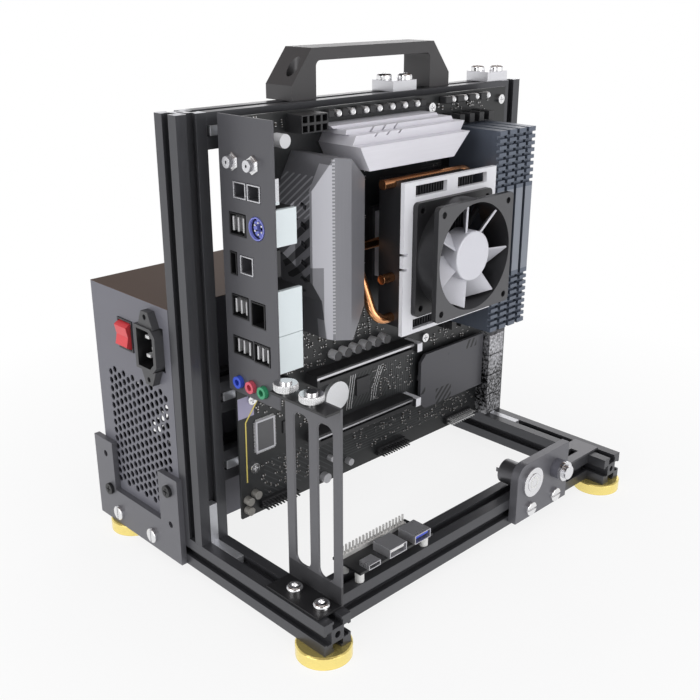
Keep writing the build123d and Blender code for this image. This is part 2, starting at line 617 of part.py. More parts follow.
def build_cooler():
    """Processor cooler: base, heat pipes, fins, frame and fan."""
    half = BASE_SIDE / 2
    bores = [base_z for base_z, _ in LEFT_PIPES + RIGHT_PIPES]
    base = box(FAN_X - half, FAN_X + half, *BASE_Y, FAN_Z - half, FAN_Z + half)
    for z in bores:
        base -= rod("X", (FAN_X - half, PIPE_BASE_Y, z), PIPE_R + RUN_GAP, BASE_SIDE)
    save("cooler_base", base)

    pipes = [heat_pipe(*zs, PIPE_LEFT, (FAN_X + half, COOLER_X[1] - 3.0)) for zs in LEFT_PIPES]
    pipes += [heat_pipe(*zs, PIPE_RIGHT, (FAN_X - half, PIPE_TIP)) for zs in RIGHT_PIPES]
    save("heat_pipes", *pipes)

    fin_x0 = COOLER_X[0] + 7.0
    count = int((COOLER_X[1] - 18.0 - fin_x0) / FIN_PITCH)
    fin = box(0, FIN_T, FIN_FRONT, FIN_BACK, COOLER_Z[0] + 2.0, COOLER_Z[1] - 1.0)
    for _, fin_z in LEFT_PIPES + RIGHT_PIPES:
        fin -= rod("X", (0, PIPE_FIN_Y, fin_z), PIPE_R + RUN_GAP, FIN_T)
    save("cooling_fins", *[Pos(fin_x0 + FIN_PITCH * i, 0, 0) * fin for i in range(count)])

    frame = box(*COOLER_X, FAN_BACK, FIN_FRONT, *COOLER_Z)
    frame -= box(COOLER_X[0] + 7.5, COOLER_X[1] - 7.5, FAN_BACK, FIN_FRONT, FAN_Z - 31.0, FAN_Z + 31.0)
    for x in (FAN_X - 33.0, FAN_X + 5.0):
        frame -= box(x, x + 28.0, FAN_BACK, FIN_FRONT, COOLER_Z[1] - 9.0, COOLER_Z[1] - 2.5)
        frame -= box(x, x + 28.0, FAN_BACK, FIN_FRONT, COOLER_Z[0] + 2.5, COOLER_Z[0] + 9.0)
    for z in (FAN_Z - 4.5, FAN_Z + 4.5):
        frame -= box(COOLER_X[0], COOLER_X[0] + 4.0, FAN_BACK, FIN_FRONT, z - 0.8, z + 0.8)
    save("cooler_frame", frame)

    fan_at = Pos(FAN_X, FAN_FRONT, FAN_Z) * ALONG["Y"]
    save("fan_frame", fan_at * fan_housing(FAN_SIDE, FAN_DEPTH, FAN_HUB, FAN_HOLES))
    save("fan_rotor", fan_at * fan_wheel(FAN_SIDE, FAN_DEPTH, FAN_HUB))


def build_controls():
    """Card bracket, front connector board and push buttons."""
    y0, y1 = CARD_PLATE_Y
    bracket = box(RAIL - PLATE, RAIL, y0, y1, RAIL, CARD_PLATE_TOP)
    for s0, s1 in ((12.0, 24.6), (31.2, 44.0)):
        slot = box(RAIL - PLATE, RAIL, s0, s1, 33.0, 129.0)
        bracket -= fillet(slot.edges().filter_by(Axis.X), 5.0)
    bracket += box(1.0, RAIL - PLATE, y0, y1, RAIL, RAIL + PLATE)
    bracket += box(8.0, RAIL - PLATE, y0, y1, CARD_PLATE_TOP - PLATE, CARD_PLATE_TOP)
    save("gpu_bracket", bracket)
    thumbs = []
    for y in THUMB_Y:
        thumb = rod("Z", (THUMB_X, y, CARD_PLATE_TOP), 2.6, 2.5)
        disc = rod("Z", (THUMB_X, y, CARD_PLATE_TOP + 2.5), 6.5, 4.0)
        thumbs.append(thumb + disc + rod("Z", (THUMB_X, y, CARD_PLATE_TOP + 6.5), 3.4, 1.2))
    save("thumb_screws", *thumbs)

    rise = USB_Z + BOARD_T
    save("usb_board", box(*USB_X, *USB_Y, USB_Z, rise))
    posts = [(x, y) for x in (44.5, 100.5) for y in (17.8, 30.8)]
    save("usb_standoffs", *[rod("Z", (x, y, RAIL), 2.8, USB_Z - RAIL) for x, y in posts])
    shells = []
    tongues = []
    sockets = ((46.5, 56.0, 3.4, 20.0), (64.0, 78.5, 5.9, 26.0), (86.0, 100.0, 5.9, 26.0))
    for x0, x1, height, back in sockets:
        shell = box(x0, x1, USB_FRONT, back, rise, rise + height)
        inside = back - 2.0
        shell -= box(
            x0 + USB_SHELL, x1 - USB_SHELL, USB_FRONT, inside,
            rise + USB_SHELL, rise + height - USB_SHELL,
        )
        shells.append(shell)
        thick = height * 0.3
        low = rise + height * 0.5
        tongues.append(box(x0 + 1.6, x1 - 1.6, USB_FRONT + 1.0, inside, low, low + thick))
    save("usb_ports", *shells)
    save("usb_tongues", *tongues)

    plate = box(*PLATE_X, PLATE_FRONT, RAIL_FRONT, *PLATE_Z)
    plate = fillet(plate.edges().filter_by(Axis.Y).group_by(Axis.Z)[-1].sort_by(Axis.X)[0], 10.0)
    plate -= rod("Y", (POWER_X, PLATE_FRONT, BUTTON_Z), POWER_BODY_R, RAIL_FRONT - PLATE_FRONT)
    plate -= rod("Y", (RESET_X, PLATE_FRONT, BUTTON_Z), RESET_BODY_R, RAIL_FRONT - PLATE_FRONT)
    save("button_plate", plate)

    def button(name, x, flange_r, flange_y, body_r, body_back, cap_r, cap_y):
        neck = body_r - 0.1
        body = rod("Y", (x, flange_y, BUTTON_Z), flange_r, PLATE_FRONT - flange_y)
        body += rod("Y", (x, PLATE_FRONT, BUTTON_Z), neck, body_back - PLATE_FRONT)
        body -= rod("Y", (x, flange_y, BUTTON_Z), cap_r + RUN_GAP, 14.0)
        for pin in (x - 3.0, x + 3.0):
            body += box(pin - 0.4, pin + 0.4, body_back, body_back + 5.0, BUTTON_Z - 1.4, BUTTON_Z + 1.4)
        save(name + "_body", body)
        save(name + "_cap", rod("Y", (x, cap_y, BUTTON_Z), cap_r, flange_y + 11.0 - cap_y))

    button("power_button", POWER_X, 10.5, 6.3, POWER_BODY_R, 31.0, POWER_CAP_R, 5.9)
    button("reset_button", RESET_X, 7.0, 0.0, RESET_BODY_R, 24.0, RESET_CAP_R, -2.6)


os.makedirs("parts", exist_ok=True)
build_frame()
build_supply()
build_board()
build_cooler()
build_controls()
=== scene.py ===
"""Dresses the open air test bench: finishes, small details, studio floor, lights and camera."""
import json
import logging
import math
from dataclasses import dataclass, field, replace
from enum import Enum
from typing import Sequence

import bmesh
import bpy
from mathutils import Matrix, Vector

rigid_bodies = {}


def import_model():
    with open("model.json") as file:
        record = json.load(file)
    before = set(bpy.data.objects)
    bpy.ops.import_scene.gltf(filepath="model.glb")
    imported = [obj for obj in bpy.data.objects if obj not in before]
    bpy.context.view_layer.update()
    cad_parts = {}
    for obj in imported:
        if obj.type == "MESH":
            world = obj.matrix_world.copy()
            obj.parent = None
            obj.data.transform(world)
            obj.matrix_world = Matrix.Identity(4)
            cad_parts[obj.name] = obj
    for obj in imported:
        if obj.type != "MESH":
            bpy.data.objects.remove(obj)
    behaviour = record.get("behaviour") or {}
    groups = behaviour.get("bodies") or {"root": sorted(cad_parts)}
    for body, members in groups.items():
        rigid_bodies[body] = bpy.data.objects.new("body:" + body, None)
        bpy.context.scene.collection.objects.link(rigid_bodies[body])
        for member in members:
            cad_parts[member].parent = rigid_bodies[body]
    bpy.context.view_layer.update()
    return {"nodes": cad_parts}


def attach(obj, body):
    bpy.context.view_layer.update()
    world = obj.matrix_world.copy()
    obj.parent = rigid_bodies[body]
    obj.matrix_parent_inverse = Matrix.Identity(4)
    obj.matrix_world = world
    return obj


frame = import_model()
LOG = logging.getLogger("bench")

Colour = tuple[float, float, float]
Point = tuple[float, float, float]
Outline = tuple[tuple[float, float], ...]
Value = bpy.types.NodeSocket | tuple[float, ...] | float
MM = 0.001
SHIFT: Point = (-150.0, -110.5, 8.0)
NOWHERE: Point = (0.0, 0.0, 0.0)
BEVEL_SAMPLES = 4
BUMP_DEPTH = 0.4
BROAD_SCALE = 18.0
FINE_DETAIL = 3.0
LEAST_ROUGHNESS = 0.05
MIX_NUMBER = (2, 3, 0)
MIX_COLOUR = (6, 7, 2)


def at(x: float, y: float, z: float) -> Point:
    """Turns a drawing position in millimetres into the shared frame in metres.

    Args:
        x: From the left rail's outer face.
        y: From the side rails' front end.
        z: From the underside of the rails.

    Returns:
        The position in metres.
    """
    return ((x + SHIFT[0]) * MM, (y + SHIFT[1]) * MM, (z + SHIFT[2]) * MM)


def size(x: float, y: float, z: float) -> Point:
    """Turns a distance in millimetres into metres.

    Args:
        x: Across.
        y: Front to back.
        z: Upwards.

    Returns:
        The distance in metres.
    """
    return (x * MM, y * MM, z * MM)


class Body(Enum):
    """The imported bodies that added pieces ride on."""

    BENCH = "bench"
    POWER_CAP = "power_cap"


class Grain(Enum):
    """How a surface's fine pattern runs."""

    SPECKLE = (1.0, 1.0, 1.0)
    ALONG_X = (0.04, 1.0, 1.0)
    ALONG_Y = (1.0, 0.04, 1.0)
    ALONG_Z = (1.0, 1.0, 0.04)


@dataclass(frozen=True)
class Zone:
    """A block of the part, in drawing millimetres, with a colour laid over it, plain or in stripes: the
    part's own colour in some zones, painted light or shade in others.
    """

    low: Point
    high: Point
    colour: Colour
    metallic: float = 0.0
    roughness: float = 0.45
    slope: Point = (1.0, 0.0, 0.0)
    pitch: float = 1.0
    share: float = 2.0


@dataclass(frozen=True)
class Finish:
    """A surface finish with its fine pattern, softened edges and coloured zones."""

    name: str
    colour: Colour
    metallic: float = 0.0
    roughness: float = 0.5
    grain: Grain = Grain.SPECKLE
    grain_scale: float = 900.0
    tint: float = 0.12
    swing: float = 0.1
    bump: float = 0.05
    edge: float = 0.35
    zones: tuple[Zone, ...] = ()

    def build(self) -> bpy.types.Material:
        """Builds the material for this finish.

        Returns:
            The material, made once for each finish name.
        """
        known = bpy.data.materials.get(self.name)
        if known is not None:
            return known
        material = bpy.data.materials.new(self.name)
        material.use_nodes = True
        nodes, links = material.node_tree.nodes, material.node_tree.links
        shader = nodes["Principled BSDF"]
        shader.inputs["Metallic"].default_value = self.metallic
        surface = nodes.new("ShaderNodeGroup")
        surface.node_tree = surface_group()
        for name, value in (
            ("Colour", (*self.colour, 1.0)), ("Tint", self.tint), ("Roughness", self.roughness),
            ("Swing", self.swing), ("Scale", self.grain_scale), ("Stretch", self.grain.value),
        ):
            surface.inputs[name].default_value = value
        colour = surface.outputs["Colour"]
        roughness = surface.outputs["Roughness"]
        metallic: Value = self.metallic
        for zone in self.zones:
            mask = zone_mask(material.node_tree, zone)
            colour = lay_over(material.node_tree, mask, colour, (*zone.colour, 1.0))
            roughness = lay_over(material.node_tree, mask, roughness, zone.roughness)
            metallic = lay_over(material.node_tree, mask, metallic, zone.metallic)
        links.new(colour, shader.inputs["Base Color"])
        links.new(roughness, shader.inputs["Roughness"])
        if self.zones:
            links.new(metallic, shader.inputs["Metallic"])
        soft = nodes.new("ShaderNodeBevel")
        soft.samples = BEVEL_SAMPLES
        soft.inputs["Radius"].default_value = self.edge * MM
        bump = nodes.new("ShaderNodeBump")
        bump.inputs["Strength"].default_value = self.bump
        bump.inputs["Distance"].default_value = BUMP_DEPTH * MM
        links.new(surface.outputs["Height"], bump.inputs["Height"])
        links.new(soft.outputs["Normal"], bump.inputs["Normal"])
        links.new(bump.outputs["Normal"], shader.inputs["Normal"])
        return material


def lay_over(
    tree: bpy.types.NodeTree, mask: bpy.types.NodeSocket, under: Value, over: Value
) -> bpy.types.NodeSocket:
    """Lays one colour or number over another.

    Args:
        tree: The nodes of the material or world.
        mask: Where the upper one shows.
        under: The lower one, plain or from a node.
        over: The upper one, plain or from a node.

    Returns:
        The mixed colour or number.
    """
    mix = tree.nodes.new("ShaderNodeMix")
    first, second, out = MIX_NUMBER
    if isinstance(under, tuple) or isinstance(over, tuple):
        mix.data_type = "RGBA"
        first, second, out = MIX_COLOUR
    tree.links.new(mask, mix.inputs[0])
    for index, value in ((first, under), (second, over)):
        if isinstance(value, bpy.types.NodeSocket):
            tree.links.new(value, mix.inputs[index])
        else:
            mix.inputs[index].default_value = value
    return mix.outputs[out]


def zone_mask(tree: bpy.types.NodeTree, zone: Zone) -> bpy.types.NodeSocket:
    """Adds the mask of one zone to a material.

    Args:
        tree: The material's nodes.
        zone: The block and its stripes.

    Returns:
        The mask.
    """
    mask = tree.nodes.new("ShaderNodeGroup")
    mask.node_tree = zone_group()
    mask.inputs["Low"].default_value = at(*zone.low)
    mask.inputs["High"].default_value = at(*zone.high)
    mask.inputs["Slope"].default_value = zone.slope
    mask.inputs["Pitch"].default_value = zone.pitch * MM
    mask.inputs["Share"].default_value = zone.share
    return mask.outputs["Mask"]


def add_math(
    tree: bpy.types.NodeTree, operation: str, *values: bpy.types.NodeSocket | float
) -> bpy.types.NodeSocket:
    """Adds a Math node.

    Args:
        tree: The nodes to add it to.
        operation: What it works out.
        values: Its inputs, plain or from other nodes.

    Returns:
        Its result.
    """
    node = tree.nodes.new("ShaderNodeMath")
    node.operation = operation
    for socket, value in zip(node.inputs, values):
        if isinstance(value, (int, float)):
            socket.default_value = value
        else:
            tree.links.new(value, socket)
    return node.outputs[0]


def map_range(
    tree: bpy.types.NodeTree, value: bpy.types.NodeSocket, limits: tuple[float, float, float, float]
) -> bpy.types.NodeSocket:
    """Adds a Map Range node.

    Args:
        tree: The nodes to add it to.
        value: The number to map.
        limits: The range that it comes from and the range that it goes to.

    Returns:
        The mapped number.
    """
    node = tree.nodes.new("ShaderNodeMapRange")
    for name, limit in zip(("From Min", "From Max", "To Min", "To Max"), limits):
        node.inputs[name].default_value = limit
    tree.links.new(value, node.inputs["Value"])
    return node.outputs[0]


def new_group(
    name: str, inputs: Sequence[tuple[str, str]], outputs: Sequence[tuple[str, str]]
) -> bpy.types.NodeTree:
    """Starts a shader node group.

    Args:
        name: The group's name.
        inputs: Name and kind of each input.
        outputs: Name and kind of each output.

    Returns:
        The group, with its input and output nodes.
    """
    tree = bpy.data.node_groups.new(name, "ShaderNodeTree")
    for way, sockets in (("INPUT", inputs), ("OUTPUT", outputs)):
        for label, kind in sockets:
            tree.interface.new_socket(label, in_out=way, socket_type="NodeSocket" + kind)
    tree.nodes.new("NodeGroupInput")
    tree.nodes.new("NodeGroupOutput")
    return tree


def surface_group() -> bpy.types.NodeTree:
    """Builds the shared pattern of tint, roughness and fine relief.

    Returns:
        The node group.
    """
    known = bpy.data.node_groups.get("FineSurface")
    if known is not None:
        return known
    tree = new_group(
        "FineSurface",
        (("Colour", "Color"), ("Tint", "Float"), ("Roughness", "Float"), ("Swing", "Float"),
         ("Scale", "Float"), ("Stretch", "Vector")),
        (("Colour", "Color"), ("Roughness", "Float"), ("Height", "Float")),
    )
    nodes, links = tree.nodes, tree.links
    given, result = nodes["Group Input"].outputs, nodes["Group Output"].inputs
    place = nodes.new("ShaderNodeTexCoord").outputs["Object"]
    stretch = nodes.new("ShaderNodeVectorMath")
    stretch.operation = "MULTIPLY"
    links.new(place, stretch.inputs[0])
    links.new(given["Stretch"], stretch.inputs[1])
    fine = nodes.new("ShaderNodeTexNoise")
    fine.inputs["Detail"].default_value = FINE_DETAIL
    links.new(stretch.outputs[0], fine.inputs["Vector"])
    links.new(given["Scale"], fine.inputs["Scale"])
    broad = nodes.new("ShaderNodeTexNoise")
    broad.inputs["Scale"].default_value = BROAD_SCALE
    links.new(place, broad.inputs["Vector"])
    centred = add_math(tree, "SUBTRACT", add_math(tree, "ADD", fine.outputs[0], broad.outputs[0]), 1.0)
    tinted = add_math(tree, "MULTIPLY_ADD", centred, given["Tint"], 1.0)
    scaled = nodes.new("ShaderNodeVectorMath")
    scaled.operation = "SCALE"
    links.new(given["Colour"], scaled.inputs[0])
    links.new(add_math(tree, "MAXIMUM", tinted, 0.0), scaled.inputs["Scale"])
    links.new(scaled.outputs[0], result["Colour"])
    rough = add_math(tree, "MULTIPLY_ADD", centred, given["Swing"], given["Roughness"])
    links.new(add_math(tree, "MAXIMUM", rough, LEAST_ROUGHNESS), result["Roughness"])
    links.new(fine.outputs[0], result["Height"])
    return tree


def zone_group() -> bpy.types.NodeTree:
    """Builds the shared mask that is 1 inside a block, or inside its stripes, and 0 elsewhere.

    Returns:
        The node group.
    """
    known = bpy.data.node_groups.get("BlockMask")
    if known is not None:
        return known
    tree = new_group(
        "BlockMask",
        (("Low", "Vector"), ("High", "Vector"), ("Slope", "Vector"), ("Pitch", "Float"), ("Share", "Float")),
        (("Mask", "Float"),),
    )
    nodes, links = tree.nodes, tree.links
    given, result = nodes["Group Input"].outputs, nodes["Group Output"].inputs
    place = nodes.new("ShaderNodeTexCoord").outputs["Object"]
    parts = []
    for source in (place, given["Low"], given["High"]):
        split = nodes.new("ShaderNodeSeparateXYZ")
        links.new(source, split.inputs[0])
        parts.append(split.outputs)
    along = nodes.new("ShaderNodeVectorMath")
    along.operation = "DOT_PRODUCT"
    links.new(place, along.inputs[0])
    links.new(given["Slope"], along.inputs[1])
    turns = add_math(tree, "FRACT", add_math(tree, "DIVIDE", along.outputs["Value"], given["Pitch"]))
    mask = add_math(tree, "LESS_THAN", turns, given["Share"])
    for spot, low, high in zip(*parts):
        mask = add_math(tree, "MULTIPLY", mask, add_math(tree, "GREATER_THAN", spot, low))
        mask = add_math(tree, "MULTIPLY", mask, add_math(tree, "LESS_THAN", spot, high))
    links.new(mask, result["Mask"])
    return tree


DARK: Colour = (0.008, 0.008, 0.009)
SOFT_BLACK: Colour = (0.02, 0.02, 0.022)
BLACK_METAL: Colour = (0.075, 0.076, 0.083)
SHADE_GREY: Colour = (0.1, 0.1, 0.11)
# A painted highlight for the left heatsink's bright edge.
PAINTED_SINK_HIGHLIGHT: Colour = (0.52, 0.52, 0.56)
STEEL_GREY: Colour = (0.76, 0.76, 0.78)
TRACE: Colour = (0.055, 0.058, 0.06)
HOUSING_FACE: Colour = (0.78, 0.85, 0.87)
SLASH_STEEP: Point = (0.88, 0.0, -0.48)
SLASH_EVEN: Point = (0.69, 0.0, -0.72)
SINK_SLANT: Point = (-0.5, 0.5, 0.707)

RAIL_BLACK = Finish("rail_black_anodised", BLACK_METAL, 0.5, 0.34, Grain.ALONG_X, 1400.0, 0.2)
SIDE_BLACK = Finish("side_rail_black_anodised", BLACK_METAL, 0.5, 0.34, Grain.ALONG_Y, 1400.0, 0.2)
POST_BLACK = Finish(
    "post_black_anodised", BLACK_METAL, 0.5, 0.34, Grain.ALONG_Z, 1400.0, 0.2,
    # This zone is a painted highlight: the posts' top faces are pale where they catch the light, over the
    # black anodising.
    zones=(Zone((-9, 100, 281.9), (309, 140, 283), (0.86, 0.87, 0.9), 0.3, 0.35),),
)
ZINC = Finish("zinc_plate", (0.62, 0.63, 0.66), 0.75, 0.4, Grain.SPECKLE, 700.0, 0.2, 0.15)
BRASS = Finish("polished_brass", (0.98, 0.8, 0.27), 0.75, 0.2, Grain.SPECKLE, 500.0, 0.08, 0.08, 0.02)
HANDLE_BLACK = Finish("handle_black", (0.06, 0.058, 0.06), 0.2, 0.4, Grain.SPECKLE, 1800.0, 0.15, 0.1, 0.1)
SATIN_SILVER = Finish("satin_silver", (0.75, 0.75, 0.78), 0.7, 0.33, Grain.ALONG_X, 1200.0, 0.1)
CHROME = Finish("bright_chrome", (0.82, 0.82, 0.83), 1.0, 0.14, Grain.SPECKLE, 600.0, 0.05, 0.05, 0.01)
BLACK_OXIDE = Finish("black_oxide", SOFT_BLACK, 0.4, 0.35, Grain.SPECKLE, 1500.0, 0.2)
SUPPLY_GREY = Finish(
    "supply_grey_paint", (0.15, 0.15, 0.175), 0.15, 0.42, Grain.SPECKLE, 2200.0, 0.12, 0.1, 0.08,
    # This zone is a painted reflection: the supply's top faces are dark brown where they mirror a warm
    # overhead.
    zones=(Zone((-1, 120, 169.7), (150, 225, 171), (0.075, 0.038, 0.02), 0.0, 0.6),),
)
MOULDED_BLACK = Finish("moulded_black", SOFT_BLACK, 0.0, 0.4, Grain.SPECKLE, 1600.0, 0.2)
INLET_PINS = tuple(
    Zone((-3, y - 2.1, z - 1.1), (10.9, y + 2.1, z + 1.1), (0.9, 0.9, 0.9), 0.4, 0.3)
    for y, z in ((145.9, 142.4), (152.4, 148.4), (152.4, 136.4))
)
INLET_BLACK = Finish(
    "inlet_black", (0.05, 0.05, 0.053), 0.0, 0.38, Grain.SPECKLE, 1600.0, 0.15,
    # The first zone is painted shade: the inlet's recess is darker than its black body. The pin zones are
    # the pins' own colour.
    zones=(Zone((-6.1, 141.1, 130.3), (12, 157.7, 154.5), DARK), *INLET_PINS),
)
ROCKER_RED = Finish("rocker_red", (0.68, 0.05, 0.06), 0.0, 0.3, Grain.SPECKLE, 1200.0, 0.1)
PLATE_GREY = Finish("satin_grey_plate", (0.15, 0.15, 0.165), 0.4, 0.4, Grain.SPECKLE, 2000.0, 0.1, 0.1, 0.06)
CARD_GREY = Finish(
    "card_bracket_grey", (0.13, 0.13, 0.14), 0.4, 0.38, Grain.ALONG_Z, 1500.0, 0.12,
    zones=(
        # These three zones are painted shade: darker along the inner edge near the foot and along the top
        # edge, and black at the base.
        Zone((18.4, 0, 19), (21, 60, 33), (0.05, 0.05, 0.054), 0.3, 0.38),
        Zone((0, 0, 139.8), (18.4, 60, 145), (0.03, 0.03, 0.032), 0.2, 0.38),
        Zone((0, 0, 19), (18.4, 60, 21.9), SOFT_BLACK, 0.2, 0.38),
    ),
)
BOARD_BLACK = Finish(
    "solder_mask_black", (0.014, 0.015, 0.016), 0.0, 0.36, Grain.SPECKLE, 420.0, 0.5, 0.15, 0.06,
    zones=(
        Zone((22.0, 97.9, 103.5), (34.0, 98.1, 117.0), (0.38, 0.36, 0.5)),
        Zone((112, 97.9, 82), (150, 98.1, 111), TRACE, 0.3, 0.3, (0.8, 0.0, -0.6), 2.6, 0.34),
        Zone((150, 97.9, 80), (178, 98.1, 111), TRACE, 0.3, 0.3, (1.0, 0.0, 0.0), 2.1, 0.4),
        Zone((180, 97.9, 132), (202, 98.1, 250), TRACE, 0.3, 0.3, (0.0, 0.0, 1.0), 1.7, 0.4),
        Zone((110, 97.9, 47), (208, 98.1, 62), TRACE, 0.3, 0.3, (0.0, 0.0, 1.0), 2.0, 0.3),
        Zone((40, 97.9, 45), (110, 98.1, 70), TRACE, 0.3, 0.3, (0.6, 0.0, 0.8), 2.8, 0.25),
    ),
)
SHIELD_GREY = Finish("connector_plate_grey", SHADE_GREY, 0.4, 0.36, Grain.ALONG_Z, 1300.0, 0.1)
PORT_METAL = Finish(
    "port_nickel", (0.66, 0.66, 0.69), 0.8, 0.28, Grain.SPECKLE, 900.0, 0.1,
    zones=(
        Zone((21.2, 50, 124), (45, 62.6, 240), HOUSING_FACE, 0.1, 0.35),
        Zone((21.15, 62.6, 124), (45, 97.9, 264), SOFT_BLACK, 0.0, 0.4),
        # These four zones are painted shade: the socket openings are darker than the metal around them.
        Zone((19, 80.5, 218), (31, 95.4, 231), DARK),
        Zone((19, 89.5, 195), (31, 96, 209), DARK),
        Zone((19, 66.5, 168.5), (31, 96, 184.5), DARK),
        Zone((19, 63.4, 147), (31, 96.5, 160), DARK),
        Zone((20.6, 68.3, 239.5), (31, 90, 247.6), SHADE_GREY, 0.2, 0.4),
        Zone((20.6, 76.2, 198), (31, 86.2, 207.3), SHADE_GREY, 0.2, 0.4),
        Zone((17, 87.9, 127), (31, 95.5, 135), (0.05, 0.1, 0.6), 0.0, 0.3),
        Zone((17, 76.8, 127), (31, 84.4, 135), (0.68, 0.1, 0.15), 0.0, 0.3),
        Zone((17, 66.1, 127), (31, 73.7, 135), (0.05, 0.33, 0.16), 0.0, 0.3),
        Zone((19, 65, 218), (21.15, 78.4, 231.5), (0.2, 0.22, 0.6), 0.0, 0.3),
    ),
)
SINK_GREY = Finish(
    "heatsink_grey", (0.23, 0.23, 0.25), 0.35, 0.38, Grain.ALONG_Z, 700.0, 0.15, 0.1, 0.08,
    zones=(
        Zone((45.9, 60, 170), (57.4, 90, 224), (0.05, 0.05, 0.055), 0.3, 0.4, SINK_SLANT, 7.5, 0.5),
        Zone((45.9, 60, 224), (62, 99, 259), (0.5, 0.5, 0.54), 0.3, 0.4, SINK_SLANT, 2.6, 0.3),
        # These two zones are a painted highlight along the heatsink's edge.
        Zone((57.5, 60, 196), (66.9, 72, 254), PAINTED_SINK_HIGHLIGHT, 0.35, 0.34),
        Zone((63.0, 60, 150), (66.9, 72, 196.1), PAINTED_SINK_HIGHLIGHT, 0.35, 0.34),
        Zone((66.9, 60, 156), (68.2, 64, 258), (0.5, 0.5, 0.53), 0.3, 0.4, (0.0, 0.0, 1.0), 2.0, 0.5),
    ),
)
SINK_WHITE = Finish("heatsink_silver_white", (0.74, 0.73, 0.78), 0.25, 0.36, Grain.ALONG_X, 1000.0, 0.08)
FIN_DARK = Finish("fins_black", (0.05, 0.05, 0.055), 0.5, 0.35, Grain.ALONG_Z, 900.0, 0.15)
SPREADER = Finish(
    "spreader_slate", (0.12, 0.14, 0.18), 0.4, 0.36, Grain.ALONG_Z, 1200.0, 0.12,
    # This zone is a painted sheen: the middle of the spreaders' front is lighter.
    zones=(Zone((198, 49, 166), (238, 50.4, 222), (0.24, 0.26, 0.3), 0.4, 0.36),),
)
DRIVE_COVER = Finish(
    "drive_cover_grey", (0.095, 0.095, 0.105), 0.4, 0.4, Grain.ALONG_X, 1200.0, 0.12,
    zones=(
        Zone((228, 91, 96.5), (239.5, 92.3, 103.0), DARK, slope=SLASH_STEEP, pitch=4.4, share=0.45),
        Zone((203.5, 91, 97.5), (208.5, 92.3, 103.9), DARK, slope=SLASH_STEEP, pitch=9.0, share=0.25),
        Zone((195, 91, 63), (212, 92.3, 74.5), DARK, slope=SLASH_EVEN, pitch=4.0, share=0.5),
        Zone((178, 91, 74.5), (183.5, 92.3, 80.5), DARK, slope=SLASH_EVEN, pitch=8.0, share=0.3),
    ),
)
COPPER = Finish("heat_pipe_copper", (0.78, 0.38, 0.18), 1.0, 0.24, Grain.ALONG_X, 700.0, 0.2, 0.12, 0.03)
FRAME_WHITE = Finish("cooler_frame_white", (0.84, 0.84, 0.88), 0.0, 0.36, Grain.SPECKLE, 1500.0, 0.05)
FAN_GREY = Finish(
    "fan_frame_grey", (0.075, 0.075, 0.08), 0.0, 0.42, Grain.SPECKLE, 1500.0, 0.12, 0.1, 0.06,
    zones=(Zone((110, 30.2, 150), (200, 51, 235), SOFT_BLACK, 0.0, 0.38),),
)
FAN_WHITE = Finish("fan_rotor_white", (0.68, 0.68, 0.73), 0.1, 0.34, Grain.SPECKLE, 1200.0, 0.06)
NYLON_WHITE = Finish("white_nylon", (0.82, 0.82, 0.8), 0.0, 0.45, Grain.SPECKLE, 1500.0, 0.08)
USB_PLASTIC = Finish(
    "usb_insulators", (0.85, 0.85, 0.84), 0.0, 0.4, Grain.SPECKLE, 1200.0, 0.06, 0.1, 0.03,
    zones=(
        Zone((84, 0, 20), (104, 60, 50), (0.06, 0.1, 0.6)),
        Zone((40, 0, 20), (60, 60, 50), (0.02, 0.02, 0.02)),
    ),
)
CARD_SLOT_BLACK = Finish(
    "card_slot_black", SOFT_BLACK, 0.0, 0.4, Grain.SPECKLE, 1500.0, 0.2,
    zones=(
        Zone((165.05, 80, 60), (172, 98.1, 130), (0.82, 0.82, 0.86)),
        Zone((75, 86.5, 116.4), (164.9, 87.3, 118.0), (0.7, 0.7, 0.73), 0.7, 0.3),
        Zone((75, 86.5, 75.8), (164.9, 87.3, 77.0), (0.6, 0.6, 0.63), 0.7, 0.3),
    ),
)
COIN_STEEL = Finish("coin_cell_steel", (0.85, 0.86, 0.88), 0.6, 0.3, Grain.SPECKLE, 900.0, 0.12)
SMALL_PARTS = Finish(
    "small_board_parts", (0.03, 0.03, 0.033), 0.0, 0.34, Grain.SPECKLE, 900.0, 0.2,
    zones=(
        Zone((90, 91.2, 120), (150, 97.9, 132), (0.95, 0.95, 0.97), 0.0, 0.3),
        Zone((52, 80, 258), (62, 97.9, 272), (0.85, 0.85, 0.87), 0.0, 0.35),
        Zone((22, 90, 38), (35, 97.9, 55), (0.3, 0.29, 0.27), 0.6, 0.4),
        Zone((85, 90, 37), (116, 97.9, 57), (0.5, 0.5, 0.52), 0.6, 0.4),
        Zone((33, 96, 77), (50, 97.9, 100), (0.55, 0.55, 0.58), 0.5, 0.35),
        Zone((35.2, 96, 79.2), (47.8, 96.7, 97.8), (0.1, 0.1, 0.105), 0.1, 0.25),
    ),
)
PIN_BLACK = Finish(
    "pin_header_black", SOFT_BLACK, 0.0, 0.36, Grain.SPECKLE, 1500.0, 0.2,
    zones=(
        Zone((210, 85, 36), (245, 95.3, 48), (0.8, 0.8, 0.8), 0.7, 0.28),
        Zone((40, 20, 26), (104, 40, 48), (0.82, 0.81, 0.79), 0.3, 0.3),
    ),
)
SPARKLE = Finish("connector_stack_sparkle", (0.2, 0.2, 0.21), 0.5, 0.28, Grain.SPECKLE, 560.0, 7.0, 0.3, 0.4)
STEEL = Finish("polished_steel", STEEL_GREY, 1.0, 0.18, Grain.SPECKLE, 800.0, 0.06, 0.08, 0.02)
POWER_BODY = replace(
    STEEL, name="power_steel_and_black",
    zones=(Zone((188, 8.3, 15), (212, 45, 45), (0.16, 0.16, 0.17), 0.8, 0.35),),
)
RESET_BODY = replace(
    STEEL, name="reset_steel_and_black",
    zones=(Zone((215, 2.5, 15), (245, 40, 45), (0.17, 0.17, 0.2), 0.4, 0.35),),
)
